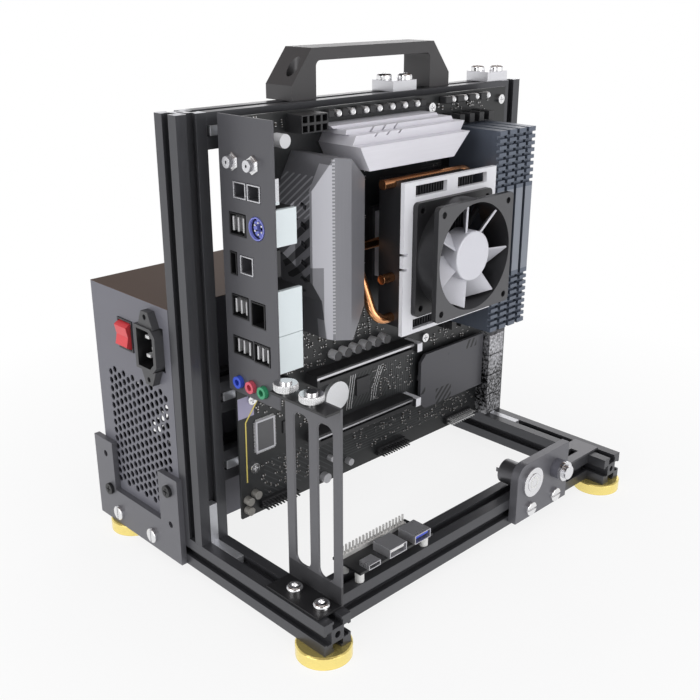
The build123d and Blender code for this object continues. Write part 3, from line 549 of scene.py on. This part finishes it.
GOLD_TRACE = Finish("gold_trace", (0.75, 0.62, 0.16), 0.5, 0.35, Grain.SPECKLE, 900.0, 0.1)
TIN = Finish("tinned_metal", (0.72, 0.72, 0.73), 0.8, 0.28, Grain.SPECKLE, 900.0, 0.15, edge=0.05)
CHIP_BROWN = Finish("chip_part_body", (0.06, 0.052, 0.046), 0.0, 0.4, Grain.SPECKLE, 300.0, 1.2, edge=0.05)
TONGUE_PALE = Finish("tongue_pale", (0.6, 0.6, 0.61), 0.5, 0.3, Grain.SPECKLE, 900.0, 0.1, edge=0.1)
FAN_DARK = Finish("supply_fan_dark", (0.05, 0.05, 0.054), 0.0, 0.4, Grain.SPECKLE, 1500.0, 0.15)
SLOT_PLATE = Finish("slotted_plate_dark", (0.16, 0.16, 0.17), 0.6, 0.36, Grain.ALONG_X, 1500.0, 0.12)
PORT_BLUE = Finish("keyboard_port_blue", (0.25, 0.28, 0.72), 0.0, 0.34, Grain.SPECKLE, 900.0, 0.1, edge=0.1)

FACE_FRONT = Matrix.Rotation(math.radians(90), 4, "X")
FACE_LEFT = Matrix.Rotation(math.radians(-90), 4, "Y")


def rounded_block(extent: Point, bevel: float) -> bpy.types.Mesh:
    """Builds a block with rounded edges round the origin.

    Args:
        extent: Its three sides in millimetres.
        bevel: The rounding in millimetres.

    Returns:
        The mesh.
    """
    mesh = bpy.data.meshes.new("rounded_block")
    work = bmesh.new()
    bmesh.ops.create_cube(work, size=1.0, matrix=Matrix.Diagonal((*size(*extent), 1.0)))
    bmesh.ops.bevel(work, geom=work.edges[:], offset=bevel * MM, segments=1, affect="EDGES")
    work.to_mesh(mesh)
    work.free()
    return mesh


def turned(profile: Sequence[tuple[float, float]], steps: int, place: Matrix) -> bpy.types.Mesh:
    """Builds a turned shape.

    Args:
        profile: Pairs of radius and height, in millimetres.
        steps: How many flats go round.
        place: Where it goes and which way its height points.

    Returns:
        The mesh.
    """
    mesh = bpy.data.meshes.new("turned")
    work = bmesh.new()
    line = [work.verts.new((radius * MM, 0.0, rise * MM)) for radius, rise in profile]
    edges = [work.edges.new(pair) for pair in zip(line, line[1:])]
    bmesh.ops.spin(
        work, geom=[*line, *edges], cent=(0, 0, 0), axis=(0, 0, 1), dvec=(0, 0, 0),
        angle=math.tau, steps=steps, use_merge=True,
    )
    bmesh.ops.remove_doubles(work, verts=work.verts[:], dist=0.002 * MM)
    bmesh.ops.recalc_face_normals(work, faces=work.faces[:])
    bmesh.ops.transform(work, verts=work.verts[:], matrix=place)
    work.to_mesh(mesh)
    work.free()
    return mesh


def ribbon(path: Sequence[tuple[float, float]], width: float, back: float, rise: float) -> bpy.types.Mesh:
    """Builds a flat raised line that lies on the board's front.

    Args:
        path: Its corners as x and z, in drawing millimetres.
        width: Its width in millimetres.
        back: The y of the face that it lies on.
        rise: How far it stands out to the front.

    Returns:
        The mesh.
    """
    points = [Vector(point) for point in path]
    sides: list[tuple[Vector, Vector]] = []
    for index, point in enumerate(points):
        before = (point - points[index - 1]).normalized() if index else None
        after = (points[index + 1] - point).normalized() if index + 1 < len(points) else None
        way = ((before or after) + (after or before)).normalized()
        across = Vector((-way.y, way.x)) * width / 2
        lean = way.dot(after or before)
        sides.append((point + across / lean, point - across / lean))
    mesh = bpy.data.meshes.new("ribbon")
    work = bmesh.new()
    rows = []
    for left, right in sides:
        corners = ((left, back), (left, back - rise), (right, back - rise), (right, back))
        rows.append([work.verts.new(at(spot.x, y, spot.y)) for spot, y in corners])
    for low, high in zip(rows, rows[1:]):
        for near, far in ((0, 1), (1, 2), (2, 3), (3, 0)):
            work.faces.new((low[near], low[far], high[far], high[near]))
    work.faces.new(rows[0])
    work.faces.new(rows[-1][::-1])
    bmesh.ops.recalc_face_normals(work, faces=work.faces[:])
    work.to_mesh(mesh)
    work.free()
    return mesh


def patches(areas: Sequence[tuple[float, float, float, float]], y: float) -> bpy.types.Mesh:
    """Builds the flat areas that small parts are scattered on.

    Args:
        areas: Each as x0, x1, z0, z1 in drawing millimetres.
        y: The face's distance from the front.

    Returns:
        The mesh, one face for each area.
    """
    corners: list[Point] = []
    faces: list[tuple[int, ...]] = []
    for x0, x1, z0, z1 in areas:
        first = len(corners)
        corners += [at(x0, y, z0), at(x1, y, z0), at(x1, y, z1), at(x0, y, z1)]
        faces.append((first, first + 1, first + 2, first + 3))
    mesh = bpy.data.meshes.new("patches")
    mesh.from_pydata(corners, [], faces)
    return mesh


def settle(
    name: str, mesh: bpy.types.Mesh, finish: Finish, body: Body = Body.BENCH
) -> bpy.types.Object:
    """Adds a finished mesh to the part as a piece.

    Args:
        name: The piece's name.
        mesh: Its mesh, in the shared frame.
        finish: Its surface.
        body: The body that it moves with.

    Returns:
        The piece.
    """
    mesh.materials.clear()
    mesh.materials.append(finish.build())
    piece = bpy.data.objects.new(name, mesh)
    bpy.context.scene.collection.objects.link(piece)
    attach(piece, body.value)
    LOG.info("added %s with %s, %d faces", name, finish.name, len(mesh.polygons))
    return piece


@dataclass(frozen=True)
class Row:
    """A straight row of equal small parts, in drawing millimetres."""

    name: str
    count: int
    start: Point
    step: Point
    turn: float = 0.0


@dataclass(frozen=True)
class Spread:
    """How closely small parts are scattered, in millimetres and in parts on a square metre."""

    spacing: float
    density: float
    smallest: float
    largest: float


class RepeatTool:
    """A Geometry Nodes tree that sets copies of a small mesh out and gives them one finish."""

    label = "Repeat"
    inputs: tuple[tuple[str, str], ...] = ()

    def __init__(self) -> None:
        """Builds the tree."""
        self.tree = bpy.data.node_groups.new(self.label, "GeometryNodeTree")
        shared = (("Base", "Geometry"), ("Stamp", "Object"), ("Finish", "Material"))
        for name, kind in (*shared, *self.inputs):
            self.tree.interface.new_socket(name, in_out="INPUT", socket_type="NodeSocket" + kind)
        self.tree.interface.new_socket("Parts", in_out="OUTPUT", socket_type="NodeSocketGeometry")
        self.given = self.tree.nodes.new("NodeGroupInput").outputs
        stamp = self.add("GeometryNodeObjectInfo", Object=self.given["Stamp"])
        spread = self.add("GeometryNodeInstanceOnPoints", Instance=stamp["Geometry"], **self.layout())
        placed = self.place(spread["Instances"])
        real = self.add("GeometryNodeRealizeInstances", Geometry=placed)
        made = self.add("GeometryNodeSetMaterial", Geometry=real["Geometry"], Material=self.given["Finish"])
        result = self.tree.nodes.new("NodeGroupOutput")
        self.tree.links.new(made["Geometry"], result.inputs["Parts"])

    def layout(self) -> dict[str, bpy.types.NodeSocket]:
        """Builds the points that the copies stand on.

        Returns:
            The points, and the copies' turn and scale where they have one.
        """
        raise NotImplementedError

    def place(self, parts: bpy.types.NodeSocket) -> bpy.types.NodeSocket:
        """Moves the whole set to its place.

        Args:
            parts: The set of copies.

        Returns:
            The set in its place.
        """
        return parts

    def add(self, kind: str, **values: bpy.types.NodeSocket | float) -> bpy.types.bpy_prop_collection:
        """Adds a node.

        Args:
            kind: The node's type.
            values: Its inputs by name with spaces as _, plain or from other nodes.

        Returns:
            Its outputs.
        """
        node = self.tree.nodes.new(kind)
        for name, value in values.items():
            socket = node.inputs[name.replace("_", " ")]
            if isinstance(value, bpy.types.NodeSocket):
                self.tree.links.new(value, socket)
            else:
                socket.default_value = value
        return node.outputs

    def run(
        self, name: str, stamp: bpy.types.Mesh, finish: Finish, slot: str,
        base: bpy.types.Mesh | None = None, **values: Point | float,
    ) -> bpy.types.Object:
        """Makes one piece with the tool.

        Args:
            name: The piece's name.
            stamp: The mesh that is repeated.
            finish: The copies' surface.
            slot: The record's material slot of the piece; not used.
            base: The faces that scattered copies stand on.
            values: The tool's own inputs by name.

        Returns:
            The piece.
        """
        scene = bpy.context.scene.collection.objects
        model = bpy.data.objects.new(name + "_stamp", stamp)
        holder = bpy.data.objects.new(name + "_base", base or bpy.data.meshes.new(name + "_base"))
        scene.link(model)
        scene.link(holder)
        modifier = holder.modifiers.new(self.label, "NODES")
        modifier.node_group = self.tree
        given = {"Stamp": model, "Finish": finish.build(), **values}
        for item in self.tree.interface.items_tree:
            if item.in_out == "INPUT" and item.name in given:
                modifier[item.identifier] = given[item.name]
        bpy.context.view_layer.update()
        seen = holder.evaluated_get(bpy.context.evaluated_depsgraph_get())
        mesh = bpy.data.meshes.new_from_object(seen)
        holder.modifiers.remove(modifier)
        for spare in (holder, model):
            bpy.data.objects.remove(spare)
        return settle(name, mesh, finish)


class LineTool(RepeatTool):
    """Sets copies out in a straight row."""

    label = "LineRepeat"
    inputs = (("Count", "Int"), ("Start", "Vector"), ("Step", "Vector"), ("Turn", "Vector"))

    def layout(self) -> dict[str, bpy.types.NodeSocket]:
        """Builds the row of points.

        Returns:
            The points and the copies' turn.
        """
        row = self.add(
            "GeometryNodeMeshLine", Count=self.given["Count"], Start_Location=self.given["Start"],
            Offset=self.given["Step"],
        )
        return {"Points": row["Mesh"], "Rotation": self.given["Turn"]}

    def set_out(self, row: Row, stamp: bpy.types.Mesh, finish: Finish, slot: str) -> bpy.types.Object:
        """Makes one piece from a row.

        Args:
            row: The row and the piece's name.
            stamp: The mesh that is repeated.
            finish: The copies' surface.
            slot: The record's material slot of the piece.

        Returns:
            The piece.
        """
        return self.run(
            row.name, stamp, finish, slot, Count=row.count, Start=at(*row.start), Step=size(*row.step),
            Turn=(0.0, math.radians(row.turn), 0.0),
        )


class RingTool(RepeatTool):
    """Sets copies out in a ring, each turned to face outwards."""

    label = "RingRepeat"
    inputs = (("Count", "Int"), ("Radius", "Float"), ("Middle", "Vector"), ("Tilt", "Vector"))

    def layout(self) -> dict[str, bpy.types.NodeSocket]:
        """Builds the ring of points.

        Returns:
            The points and each copy's turn.
        """
        ring = self.add("GeometryNodeMeshCircle", Vertices=self.given["Count"], Radius=self.given["Radius"])
        index = self.add("GeometryNodeInputIndex")["Index"]
        swept = add_math(self.tree, "MULTIPLY", index, math.tau)
        angle = add_math(self.tree, "DIVIDE", swept, self.given["Count"])
        turn = self.add("ShaderNodeCombineXYZ", Z=angle)
        return {"Points": ring["Mesh"], "Rotation": turn["Vector"]}

    def place(self, parts: bpy.types.NodeSocket) -> bpy.types.NodeSocket:
        """Tilts the ring and moves it to its middle.

        Args:
            parts: The ring of copies.

        Returns:
            The ring in its place.
        """
        moved = self.add(
            "GeometryNodeTransform", Geometry=parts, Translation=self.given["Middle"],
            Rotation=self.given["Tilt"],
        )
        return moved["Geometry"]


class ScatterTool(RepeatTool):
    """Scatters copies over flat areas, each turned by a right angle or not at all."""

    label = "ScatterRepeat"
    inputs = (
        ("Spacing", "Float"), ("Density", "Float"), ("Seed", "Int"),
        ("Smallest", "Float"), ("Largest", "Float"),
    )

    def layout(self) -> dict[str, bpy.types.NodeSocket]:
        """Builds the scattered points.

        Returns:
            The points and each copy's turn and scale.
        """
        spots = self.tree.nodes.new("GeometryNodeDistributePointsOnFaces")
        spots.distribute_method = "POISSON"
        for name, source in (
            ("Mesh", "Base"), ("Distance Min", "Spacing"), ("Density Max", "Density"), ("Seed", "Seed"),
        ):
            self.tree.links.new(self.given[source], spots.inputs[name])
        grown = self.pick("FLOAT", self.given["Smallest"], self.given["Largest"])
        quarter = add_math(self.tree, "MULTIPLY", self.pick("INT", 0, 1), math.pi / 2)
        turn = self.add("ShaderNodeCombineXYZ", Y=quarter)
        return {"Points": spots.outputs["Points"], "Rotation": turn["Vector"], "Scale": grown}

    def strew(
        self, name: str, stamp: bpy.types.Mesh, finish: Finish, slot: str, base: bpy.types.Mesh,
        spread: Spread, seed: int,
    ) -> bpy.types.Object:
        """Makes one piece of scattered copies.

        Args:
            name: The piece's name.
            stamp: The mesh that is repeated.
            finish: The copies' surface.
            slot: The record's material slot of the piece.
            base: The faces that the copies stand on.
            spread: How closely they stand and how their sizes vary.
            seed: The start of the random draws.

        Returns:
            The piece.
        """
        return self.run(
            name, stamp, finish, slot, base=base, Spacing=spread.spacing * MM, Density=spread.density,
            Seed=seed, Smallest=spread.smallest, Largest=spread.largest,
        )

    def pick(
        self, kind: str, low: bpy.types.NodeSocket | int, high: bpy.types.NodeSocket | int
    ) -> bpy.types.NodeSocket:
        """Adds a seeded random number for each point.

        Args:
            kind: FLOAT or INT.
            low: The least it may be.
            high: The most it may be.

        Returns:
            The number.
        """
        node = self.tree.nodes.new("FunctionNodeRandomValue")
        node.data_type = kind
        active = [socket for socket in node.inputs if socket.enabled]
        for socket, value in zip(active, (low, high)):
            if isinstance(value, int):
                socket.default_value = value
            else:
                self.tree.links.new(value, socket)
        self.tree.links.new(self.given["Seed"], node.inputs["Seed"])
        return next(socket for socket in node.outputs if socket.enabled)


@dataclass
class Assembly:
    """A group of CAD nodes with their finishes and the small pieces added to them."""

    finishes: dict[Finish, tuple[str, ...]] = field(default_factory=dict)

    def dress(self) -> None:
        """Gives every CAD node of the group its finish."""
        for finish, names in self.finishes.items():
            for name in names:
                materials = frame["nodes"][name].data.materials
                materials.clear()
                materials.append(finish.build())
                LOG.info("dressed %s with %s", name, finish.name)

    def build(self) -> None:
        """Adds the group's small pieces, where it has any."""


@dataclass
class RailFrame(Assembly):
    """Rails, posts, feet, handle and fasteners."""

    finishes: dict[Finish, tuple[str, ...]] = field(default_factory=lambda: {
        RAIL_BLACK: ("front_rail", "rear_base_rail", "top_rail", "middle_rail", "lower_rail"),
        SIDE_BLACK: ("left_rail", "right_rail"),
        POST_BLACK: ("left_upright", "right_upright"),
        ZINC: ("slot_hardware",),
        SLOT_PLATE: ("corner_plate",),
        BRASS: ("feet",),
        HANDLE_BLACK: ("handle",),
        SATIN_SILVER: ("top_clips",),
        CHROME: ("dome_screws", "slotted_screws"),
        BLACK_OXIDE: ("black_screws",),
    })


@dataclass
class Supply(Assembly):
    """The power supply with its switch, inlet, fan and bracket."""

    finishes: dict[Finish, tuple[str, ...]] = field(default_factory=lambda: {
        SUPPLY_GREY: ("psu_case", "psu_cover"),
        INLET_BLACK: ("psu_inlet",),
        MOULDED_BLACK: ("rocker_bezel", "psu_fan_frame"),
        FAN_DARK: ("psu_fan_rotor",),
        ROCKER_RED: ("rocker",),
        PLATE_GREY: ("psu_bracket",),
    })


@dataclass
class Board(Assembly):
    """The motherboard with its sockets, heatsinks, memory and small parts."""

    line: LineTool = field(default_factory=LineTool)
    ring: RingTool = field(default_factory=RingTool)
    scatter: ScatterTool = field(default_factory=ScatterTool)
    front: float = 98.0
    back: float = 99.6
    seed: int = 7
    bare: tuple[tuple[float, float, float, float], ...] = (
        (192, 256, 269, 273), (36, 62, 270, 279), (100, 111, 150, 244), (112, 129, 134, 244),
        (181, 197, 122, 246), (44, 94, 121, 146), (100, 196, 131, 145), (68, 88, 82, 110),
        (134, 176, 82, 110), (38, 86, 47, 69), (118, 176, 48, 69), (181, 246, 47, 61),
        (240, 251, 106, 266), (192, 238, 106, 117), (36, 54, 102, 120), (52, 66, 94, 110),
    )
    soldered: tuple[tuple[float, float, float, float], ...] = ((24, 264, 143, 260), (24, 264, 86, 103))
    chip_body: Point = (1.1, 0.66, 0.84)
    chip_end: Point = (1.7, 0.6, 0.8)
    chip_spread: Spread = Spread(2.3, 75000.0, 0.7, 1.5)
    solder_point: Point = (1.1, 0.5, 1.1)
    solder_spread: Spread = Spread(3.4, 14000.0, 0.7, 1.2)
    can: Outline = ((0.0, 0.0), (2.1, 0.0), (2.1, 4.6), (1.8, 5.0), (1.4, 4.8), (0.0, 4.8))
    can_flats: int = 20
    can_rows: tuple[Row, Row] = (
        Row("top_cans", 7, (101.6, 98.0, 276.2), (11.4, 0, 0)),
        Row("edge_cans", 4, (205.0, 98.0, 276.2), (12.0, 0, 0)),
    )
    coil: Point = (5.0, 4.4, 4.6)
    coil_row: Row = Row("top_coils", 8, (96.0, 95.8, 276.2), (11.4, 0, 0))
    edge_socket: Point = (6.4, 6.0, 4.4)
    edge_socket_row: Row = Row("edge_sockets", 4, (199.0, 95.0, 276.2), (12.0, 0, 0))
    lead: Point = (0.45, 0.7, 1.3)
    lead_rows: tuple[Row, ...] = (
        Row("chip_leads_low", 15, (34.8, 97.6, 77.5), (0.957, 0, 0)),
        Row("chip_leads_top", 15, (34.8, 97.6, 99.5), (0.957, 0, 0)),
        Row("chip_leads_left", 21, (33.5, 97.6, 78.9), (0, 0, 0.96), 90.0),
        Row("chip_leads_right", 21, (49.5, 97.6, 78.9), (0, 0, 0.96), 90.0),
    )
    fence: Outline = ((42.0, 119.0), (27.3, 100.2), (26.9, 60.0))
    fence_width: float = 0.9
    fence_rise: float = 0.15
    bundles: tuple[tuple[str, Outline], ...] = (
        ("left_board_lines", ((111.6, 82.0), (113.0, 91.0), (116.6, 110.6))),
        ("right_board_lines", ((134.4, 82.0), (135.8, 91.0), (144.4, 110.6))),
    )
    bundle_count: int = 3
    bundle_gap: float = 2.1
    line_width: float = 0.45
    line_rise: float = 0.12
    tongue: Point = (7.5, 1.3, 8.2)
    tongue_rows: tuple[Row, ...] = (
        Row("upper_tongues", 3, (24.2, 83.7, 224.5), (0, 4.4, 0)),
        Row("middle_tongues", 3, (24.2, 83.8, 177.4), (0, 4.6, 0)),
        Row("lower_tongues", 3, (24.2, 82.3, 153.6), (0, 5.0, 0)),
        Row("front_tongues", 3, (24.2, 66.3, 153.5), (0, 4.3, 0)),
    )
    nut: Outline = (
        (3.3, 0.0), (5.2, 0.0), (5.2, 1.0), (4.9, 1.3), (4.2, 1.3), (4.0, 1.9), (3.3, 1.9), (3.3, 0.0),
    )
    nut_flats: int = 6
    nut_row: Row = Row("antenna_nuts", 2, (20.0, 72.7, 258.5), (0, 17.0, 0))
    keyboard_pin: Point = (1.2, 1.2, 1.6)
    keyboard_pin_ring: float = 3.2
    keyboard_pins_at: Point = (21.6, 71.7, 224.8)
    keyboard_block: Point = (2.9, 2.6, 3.0)
    keyboard_block_ring: float = 4.0
    keyboard_blocks_at: Point = (23.6, 71.7, 224.8)
    finishes: dict[Finish, tuple[str, ...]] = field(default_factory=lambda: {
        BOARD_BLACK: ("motherboard",),
        ZINC: ("board_standoffs",),
        CHROME: ("board_screws",),
        SHIELD_GREY: ("io_shield",),
        PORT_METAL: ("io_ports",),
        SINK_GREY: ("left_heatsink",),
        SINK_WHITE: ("top_heatsink",),
        MOULDED_BLACK: ("power_sockets", "memory_slots"),
        SPREADER: ("memory_modules",),
        CARD_SLOT_BLACK: ("pcie_slots",),
        DRIVE_COVER: ("m2_cover",),
        COIN_STEEL: ("coin_cell",),
        SMALL_PARTS: ("board_parts",),
        PIN_BLACK: ("pin_headers",),
        SPARKLE: ("sata_ports",),
    })

    def build(self) -> None:
        """Adds chip parts, solder points, leads, traces and what sits in the rear sockets."""
        self._chip_parts()
        self._top_edge()
        self._leads()
        self._traces()
        self._sockets()

    def _chip_parts(self) -> None:
        """Scatters chip parts over the bare front and solder points over the back."""
        for name, extent, finish, slot in (
            ("chip_bodies", self.chip_body, CHIP_BROWN, "black_plastic"),
            ("chip_ends", self.chip_end, TIN, "silver"),
        ):
            face = patches(self.bare, self.front - extent[1] / 2)
            self.scatter.strew(
                name, rounded_block(extent, 0.08), finish, slot, face, self.chip_spread, self.seed
            )
        self.scatter.strew(
            "solder_points", rounded_block(self.solder_point, 0.22), TIN, "silver",
            patches(self.soldered, self.back + 0.2), self.solder_spread, self.seed,
        )

    def _top_edge(self) -> None:
        """Adds the coils, cans and small sockets along the board's top edge."""
        can = turned(self.can, self.can_flats, FACE_FRONT)
        top_cans, edge_cans = self.can_rows
        self.line.set_out(self.coil_row, rounded_block(self.coil, 0.5), MOULDED_BLACK, "black_plastic")
        self.line.set_out(top_cans, can, TIN, "silver")
        self.line.set_out(
            self.edge_socket_row, rounded_block(self.edge_socket, 0.4), MOULDED_BLACK, "black_plastic"
        )
        self.line.set_out(edge_cans, can, TIN, "silver")

    def _leads(self) -> None:
        """Adds the leads on the four sides of the sound chip."""
        for row in self.lead_rows:
            self.line.set_out(row, rounded_block(self.lead, 0.1), TIN, "silver")

    def _traces(self) -> None:
        """Adds the gold line that fences the sound parts and two bundles of bright board lines."""
        fence = ribbon(self.fence, self.fence_width, self.front, self.fence_rise)
        settle("gold_fence", fence, GOLD_TRACE)
        for name, path in self.bundles:
            self.line.run(
                name, ribbon(path, self.line_width, self.front, self.line_rise), TIN, "silver",
                Count=self.bundle_count, Start=NOWHERE, Step=size(self.bundle_gap, 0, 0), Turn=NOWHERE,
            )

    def _sockets(self) -> None:
        """Adds the tongues and pins in the rear sockets and the nuts of the antenna sockets."""
        for row in self.tongue_rows:
            self.line.set_out(row, rounded_block(self.tongue, 0.25), TONGUE_PALE, "port_metal")
        nut = turned(self.nut, self.nut_flats, FACE_LEFT)
        self.line.set_out(self.nut_row, nut, CHROME, "bright_steel")
        facing_left = (0.0, math.radians(90), 0.0)
        self.ring.run(
            "keyboard_pins", rounded_block(self.keyboard_pin, 0.2), TIN, "silver", Count=6,
            Radius=self.keyboard_pin_ring * MM, Middle=at(*self.keyboard_pins_at), Tilt=facing_left,
        )
        self.ring.run(
            "keyboard_insert", rounded_block(self.keyboard_block, 0.3), PORT_BLUE, "port_metal", Count=9,
            Radius=self.keyboard_block_ring * MM, Middle=at(*self.keyboard_blocks_at), Tilt=facing_left,
        )


@dataclass
class Cooler(Assembly):
    """The processor cooler with its pipes, fins, frame and fan."""

    finishes: dict[Finish, tuple[str, ...]] = field(default_factory=lambda: {
        SINK_WHITE: ("cooler_base",),
        COPPER: ("heat_pipes",),
        FIN_DARK: ("cooling_fins",),
        FRAME_WHITE: ("cooler_frame",),
        FAN_GREY: ("fan_frame",),
        FAN_WHITE: ("fan_rotor",),
    })


@dataclass
class Controls(Assembly):
    """The card bracket, the front connector board and the push buttons."""

    ring: RingTool = field(default_factory=RingTool)
    knurls: tuple[tuple[str, Point], ...] = (
        ("front_knurl", (12.0, 21.0, 146.0)), ("rear_knurl", (12.0, 41.5, 146.0)),
    )
    knurl: Point = (0.7, 0.5, 3.4)
    knurl_count: int = 46
    knurl_ring: float = 6.45
    power_ring: Outline = ((3.1, 0.0), (3.1, 0.16), (3.3, 0.25), (4.0, 0.25), (4.2, 0.16), (4.2, 0.0))
    power_ring_flats: int = 48
    power_ring_at: Point = (200.0, 5.9, 30.3)
    finishes: dict[Finish, tuple[str, ...]] = field(default_factory=lambda: {
        CARD_GREY: ("gpu_bracket",),
        CHROME: ("thumb_screws",),
        BOARD_BLACK: ("usb_board",),
        NYLON_WHITE: ("usb_standoffs",),
        PORT_METAL: ("usb_ports",),
        USB_PLASTIC: ("usb_tongues",),
        PLATE_GREY: ("button_plate",),
        POWER_BODY: ("power_button_body",),
        RESET_BODY: ("reset_button_body",),
        STEEL: ("power_button_cap", "reset_button_cap"),
    })

    def build(self) -> None:
        """Adds the knurled rims of the thumb screws and the ring on the power button."""
        for name, middle in self.knurls:
            self.ring.run(
                name, rounded_block(self.knurl, 0.12), CHROME, "bright_steel", Count=self.knurl_count,
                Radius=self.knurl_ring * MM, Middle=at(*middle), Tilt=NOWHERE,
            )
        place = Matrix.Translation(at(*self.power_ring_at)) @ FACE_FRONT
        ring = turned(self.power_ring, self.power_ring_flats, place)
        settle("power_ring", ring, NYLON_WHITE, Body.POWER_CAP)


@dataclass
class Studio:
    """The pale floor, the soft lamps and the photograph's camera."""

    floor_size: float = 200.0
    camera_at: Point = (-0.44476, -0.43301, 0.35473)
    camera_pitch: float = 20.7847
    camera_yaw: float = 44.2457
    lens: float = 49.66
    sensor: float = 36.0
    view_range: tuple[float, float] = (0.01, 500.0)
    lamps_aim: Point = (0.0, 0.0, 0.13)
    floor_colour: tuple[float, ...] = (0.9, 0.9, 0.9, 1.0)
    floor_white: tuple[float, float, float, float] = (0.2, 0.48, 0.84, 1.0)
    sky_rise: tuple[float, float, float, float] = (0.15, 0.75, 0.0, 1.0)
    sky_low: tuple[float, ...] = (0.85, 0.85, 0.87, 1.0)
    sky_high: tuple[float, ...] = (0.14, 0.1, 0.08, 1.0)
    sky_light: tuple[float, ...] = (0.42, 0.42, 0.43, 1.0)
    sky_seen: tuple[float, ...] = (1.0, 1.0, 1.0, 1.0)
    lamps: tuple[tuple[str, Point, float, float], ...] = (
        ("left_lamp", (-1.6, -0.1, 0.6), 1.2, 13.0),
        ("front_lamp", (0.1, -1.7, 0.55), 1.4, 13.0),
        ("back_lamp", (1.3, 0.9, 0.7), 1.2, 5.0),
        ("top_lamp", (-0.2, -0.2, 1.9), 1.4, 3.0),
    )

    def build(self) -> None:
        """Builds the whole studio."""
        self._floor()
        self._world()
        self._lamps()
        self._camera()

    def _floor(self) -> None:
        """Lays a wide pale floor that keeps the object's shadow and turns white further out."""
        mesh = bpy.data.meshes.new("studio_floor")
        half = self.floor_size / 2
        corners = [(-half, -half, 0), (half, -half, 0), (half, half, 0), (-half, half, 0)]
        mesh.from_pydata(corners, [], [(0, 1, 2, 3)])
        floor = bpy.data.objects.new("studio_floor", mesh)
        bpy.context.scene.collection.objects.link(floor)
        material = bpy.data.materials.new("studio_white")
        material.use_nodes = True
        tree = material.node_tree
        nodes, links = tree.nodes, tree.links
        shader = nodes["Principled BSDF"]
        shader.inputs["Base Color"].default_value = self.floor_colour
        shader.inputs["Roughness"].default_value = 0.9
        shine = nodes.new("ShaderNodeEmission")
        mix = nodes.new("ShaderNodeMixShader")
        path = nodes.new("ShaderNodeLightPath")
        reach = nodes.new("ShaderNodeVectorMath")
        reach.operation = "LENGTH"
        links.new(nodes.new("ShaderNodeTexCoord").outputs["Object"], reach.inputs[0])
        white = map_range(tree, reach.outputs["Value"], self.floor_white)
        seen = add_math(tree, "MAXIMUM", path.outputs["Is Camera Ray"], path.outputs["Is Glossy Ray"])
        links.new(add_math(tree, "MULTIPLY", seen, white), mix.inputs[0])
        links.new(shader.outputs[0], mix.inputs[1])
        links.new(shine.outputs[0], mix.inputs[2])
        links.new(mix.outputs[0], nodes["Material Output"].inputs["Surface"])
        mesh.materials.append(material)

    def _world(self) -> None:
        """Sets a soft grey light all round, white to the camera, darker overhead in reflections."""
        world = bpy.data.worlds.new("studio_world")
        bpy.context.scene.world = world
        world.use_nodes = True
        tree = world.node_tree
        nodes, links = tree.nodes, tree.links
        path = nodes.new("ShaderNodeLightPath")
        height = nodes.new("ShaderNodeSeparateXYZ")
        links.new(nodes.new("ShaderNodeTexCoord").outputs["Generated"], height.inputs[0])
        rise = map_range(tree, height.outputs["Z"], self.sky_rise)
        mirrored = lay_over(tree, rise, self.sky_low, self.sky_high)
        soft = lay_over(tree, path.outputs["Is Glossy Ray"], self.sky_light, mirrored)
        seen = lay_over(tree, path.outputs["Is Camera Ray"], soft, self.sky_seen)
        links.new(seen, nodes["Background"].inputs["Color"])

    def _lamps(self) -> None:
        """Hangs the soft lamps."""
        for name, place, extent, power in self.lamps:
            lamp = bpy.data.lights.new(name, "AREA")
            lamp.size = extent
            lamp.energy = power
            holder = bpy.data.objects.new(name, lamp)
            holder.location = place
            aim = Vector(self.lamps_aim) - Vector(place)
            holder.rotation_euler = aim.to_track_quat("-Z", "Y").to_euler()
            bpy.context.scene.collection.objects.link(holder)

    def _camera(self) -> None:
        """Sets the camera at the photograph's place and lens."""
        camera = bpy.data.cameras.new("photo_camera")
        camera.lens = self.lens
        camera.sensor_width = self.sensor
        camera.clip_start, camera.clip_end = self.view_range
        holder = bpy.data.objects.new("photo_camera", camera)
        holder.location = self.camera_at
        holder.rotation_euler = (
            math.radians(90.0 - self.camera_pitch), 0.0, -math.radians(self.camera_yaw)
        )
        bpy.context.scene.collection.objects.link(holder)
        bpy.context.scene.camera = holder


def main() -> None:
    """Dresses the bench and sets the studio."""
    logging.basicConfig(level=logging.INFO, format="%(message)s")
    bpy.context.scene.view_settings.view_transform = "Standard"
    for assembly in (RailFrame(), Supply(), Board(), Cooler(), Controls()):
        assembly.dress()
        assembly.build()
    Studio().build()


if __name__ == "__main__":
    main()
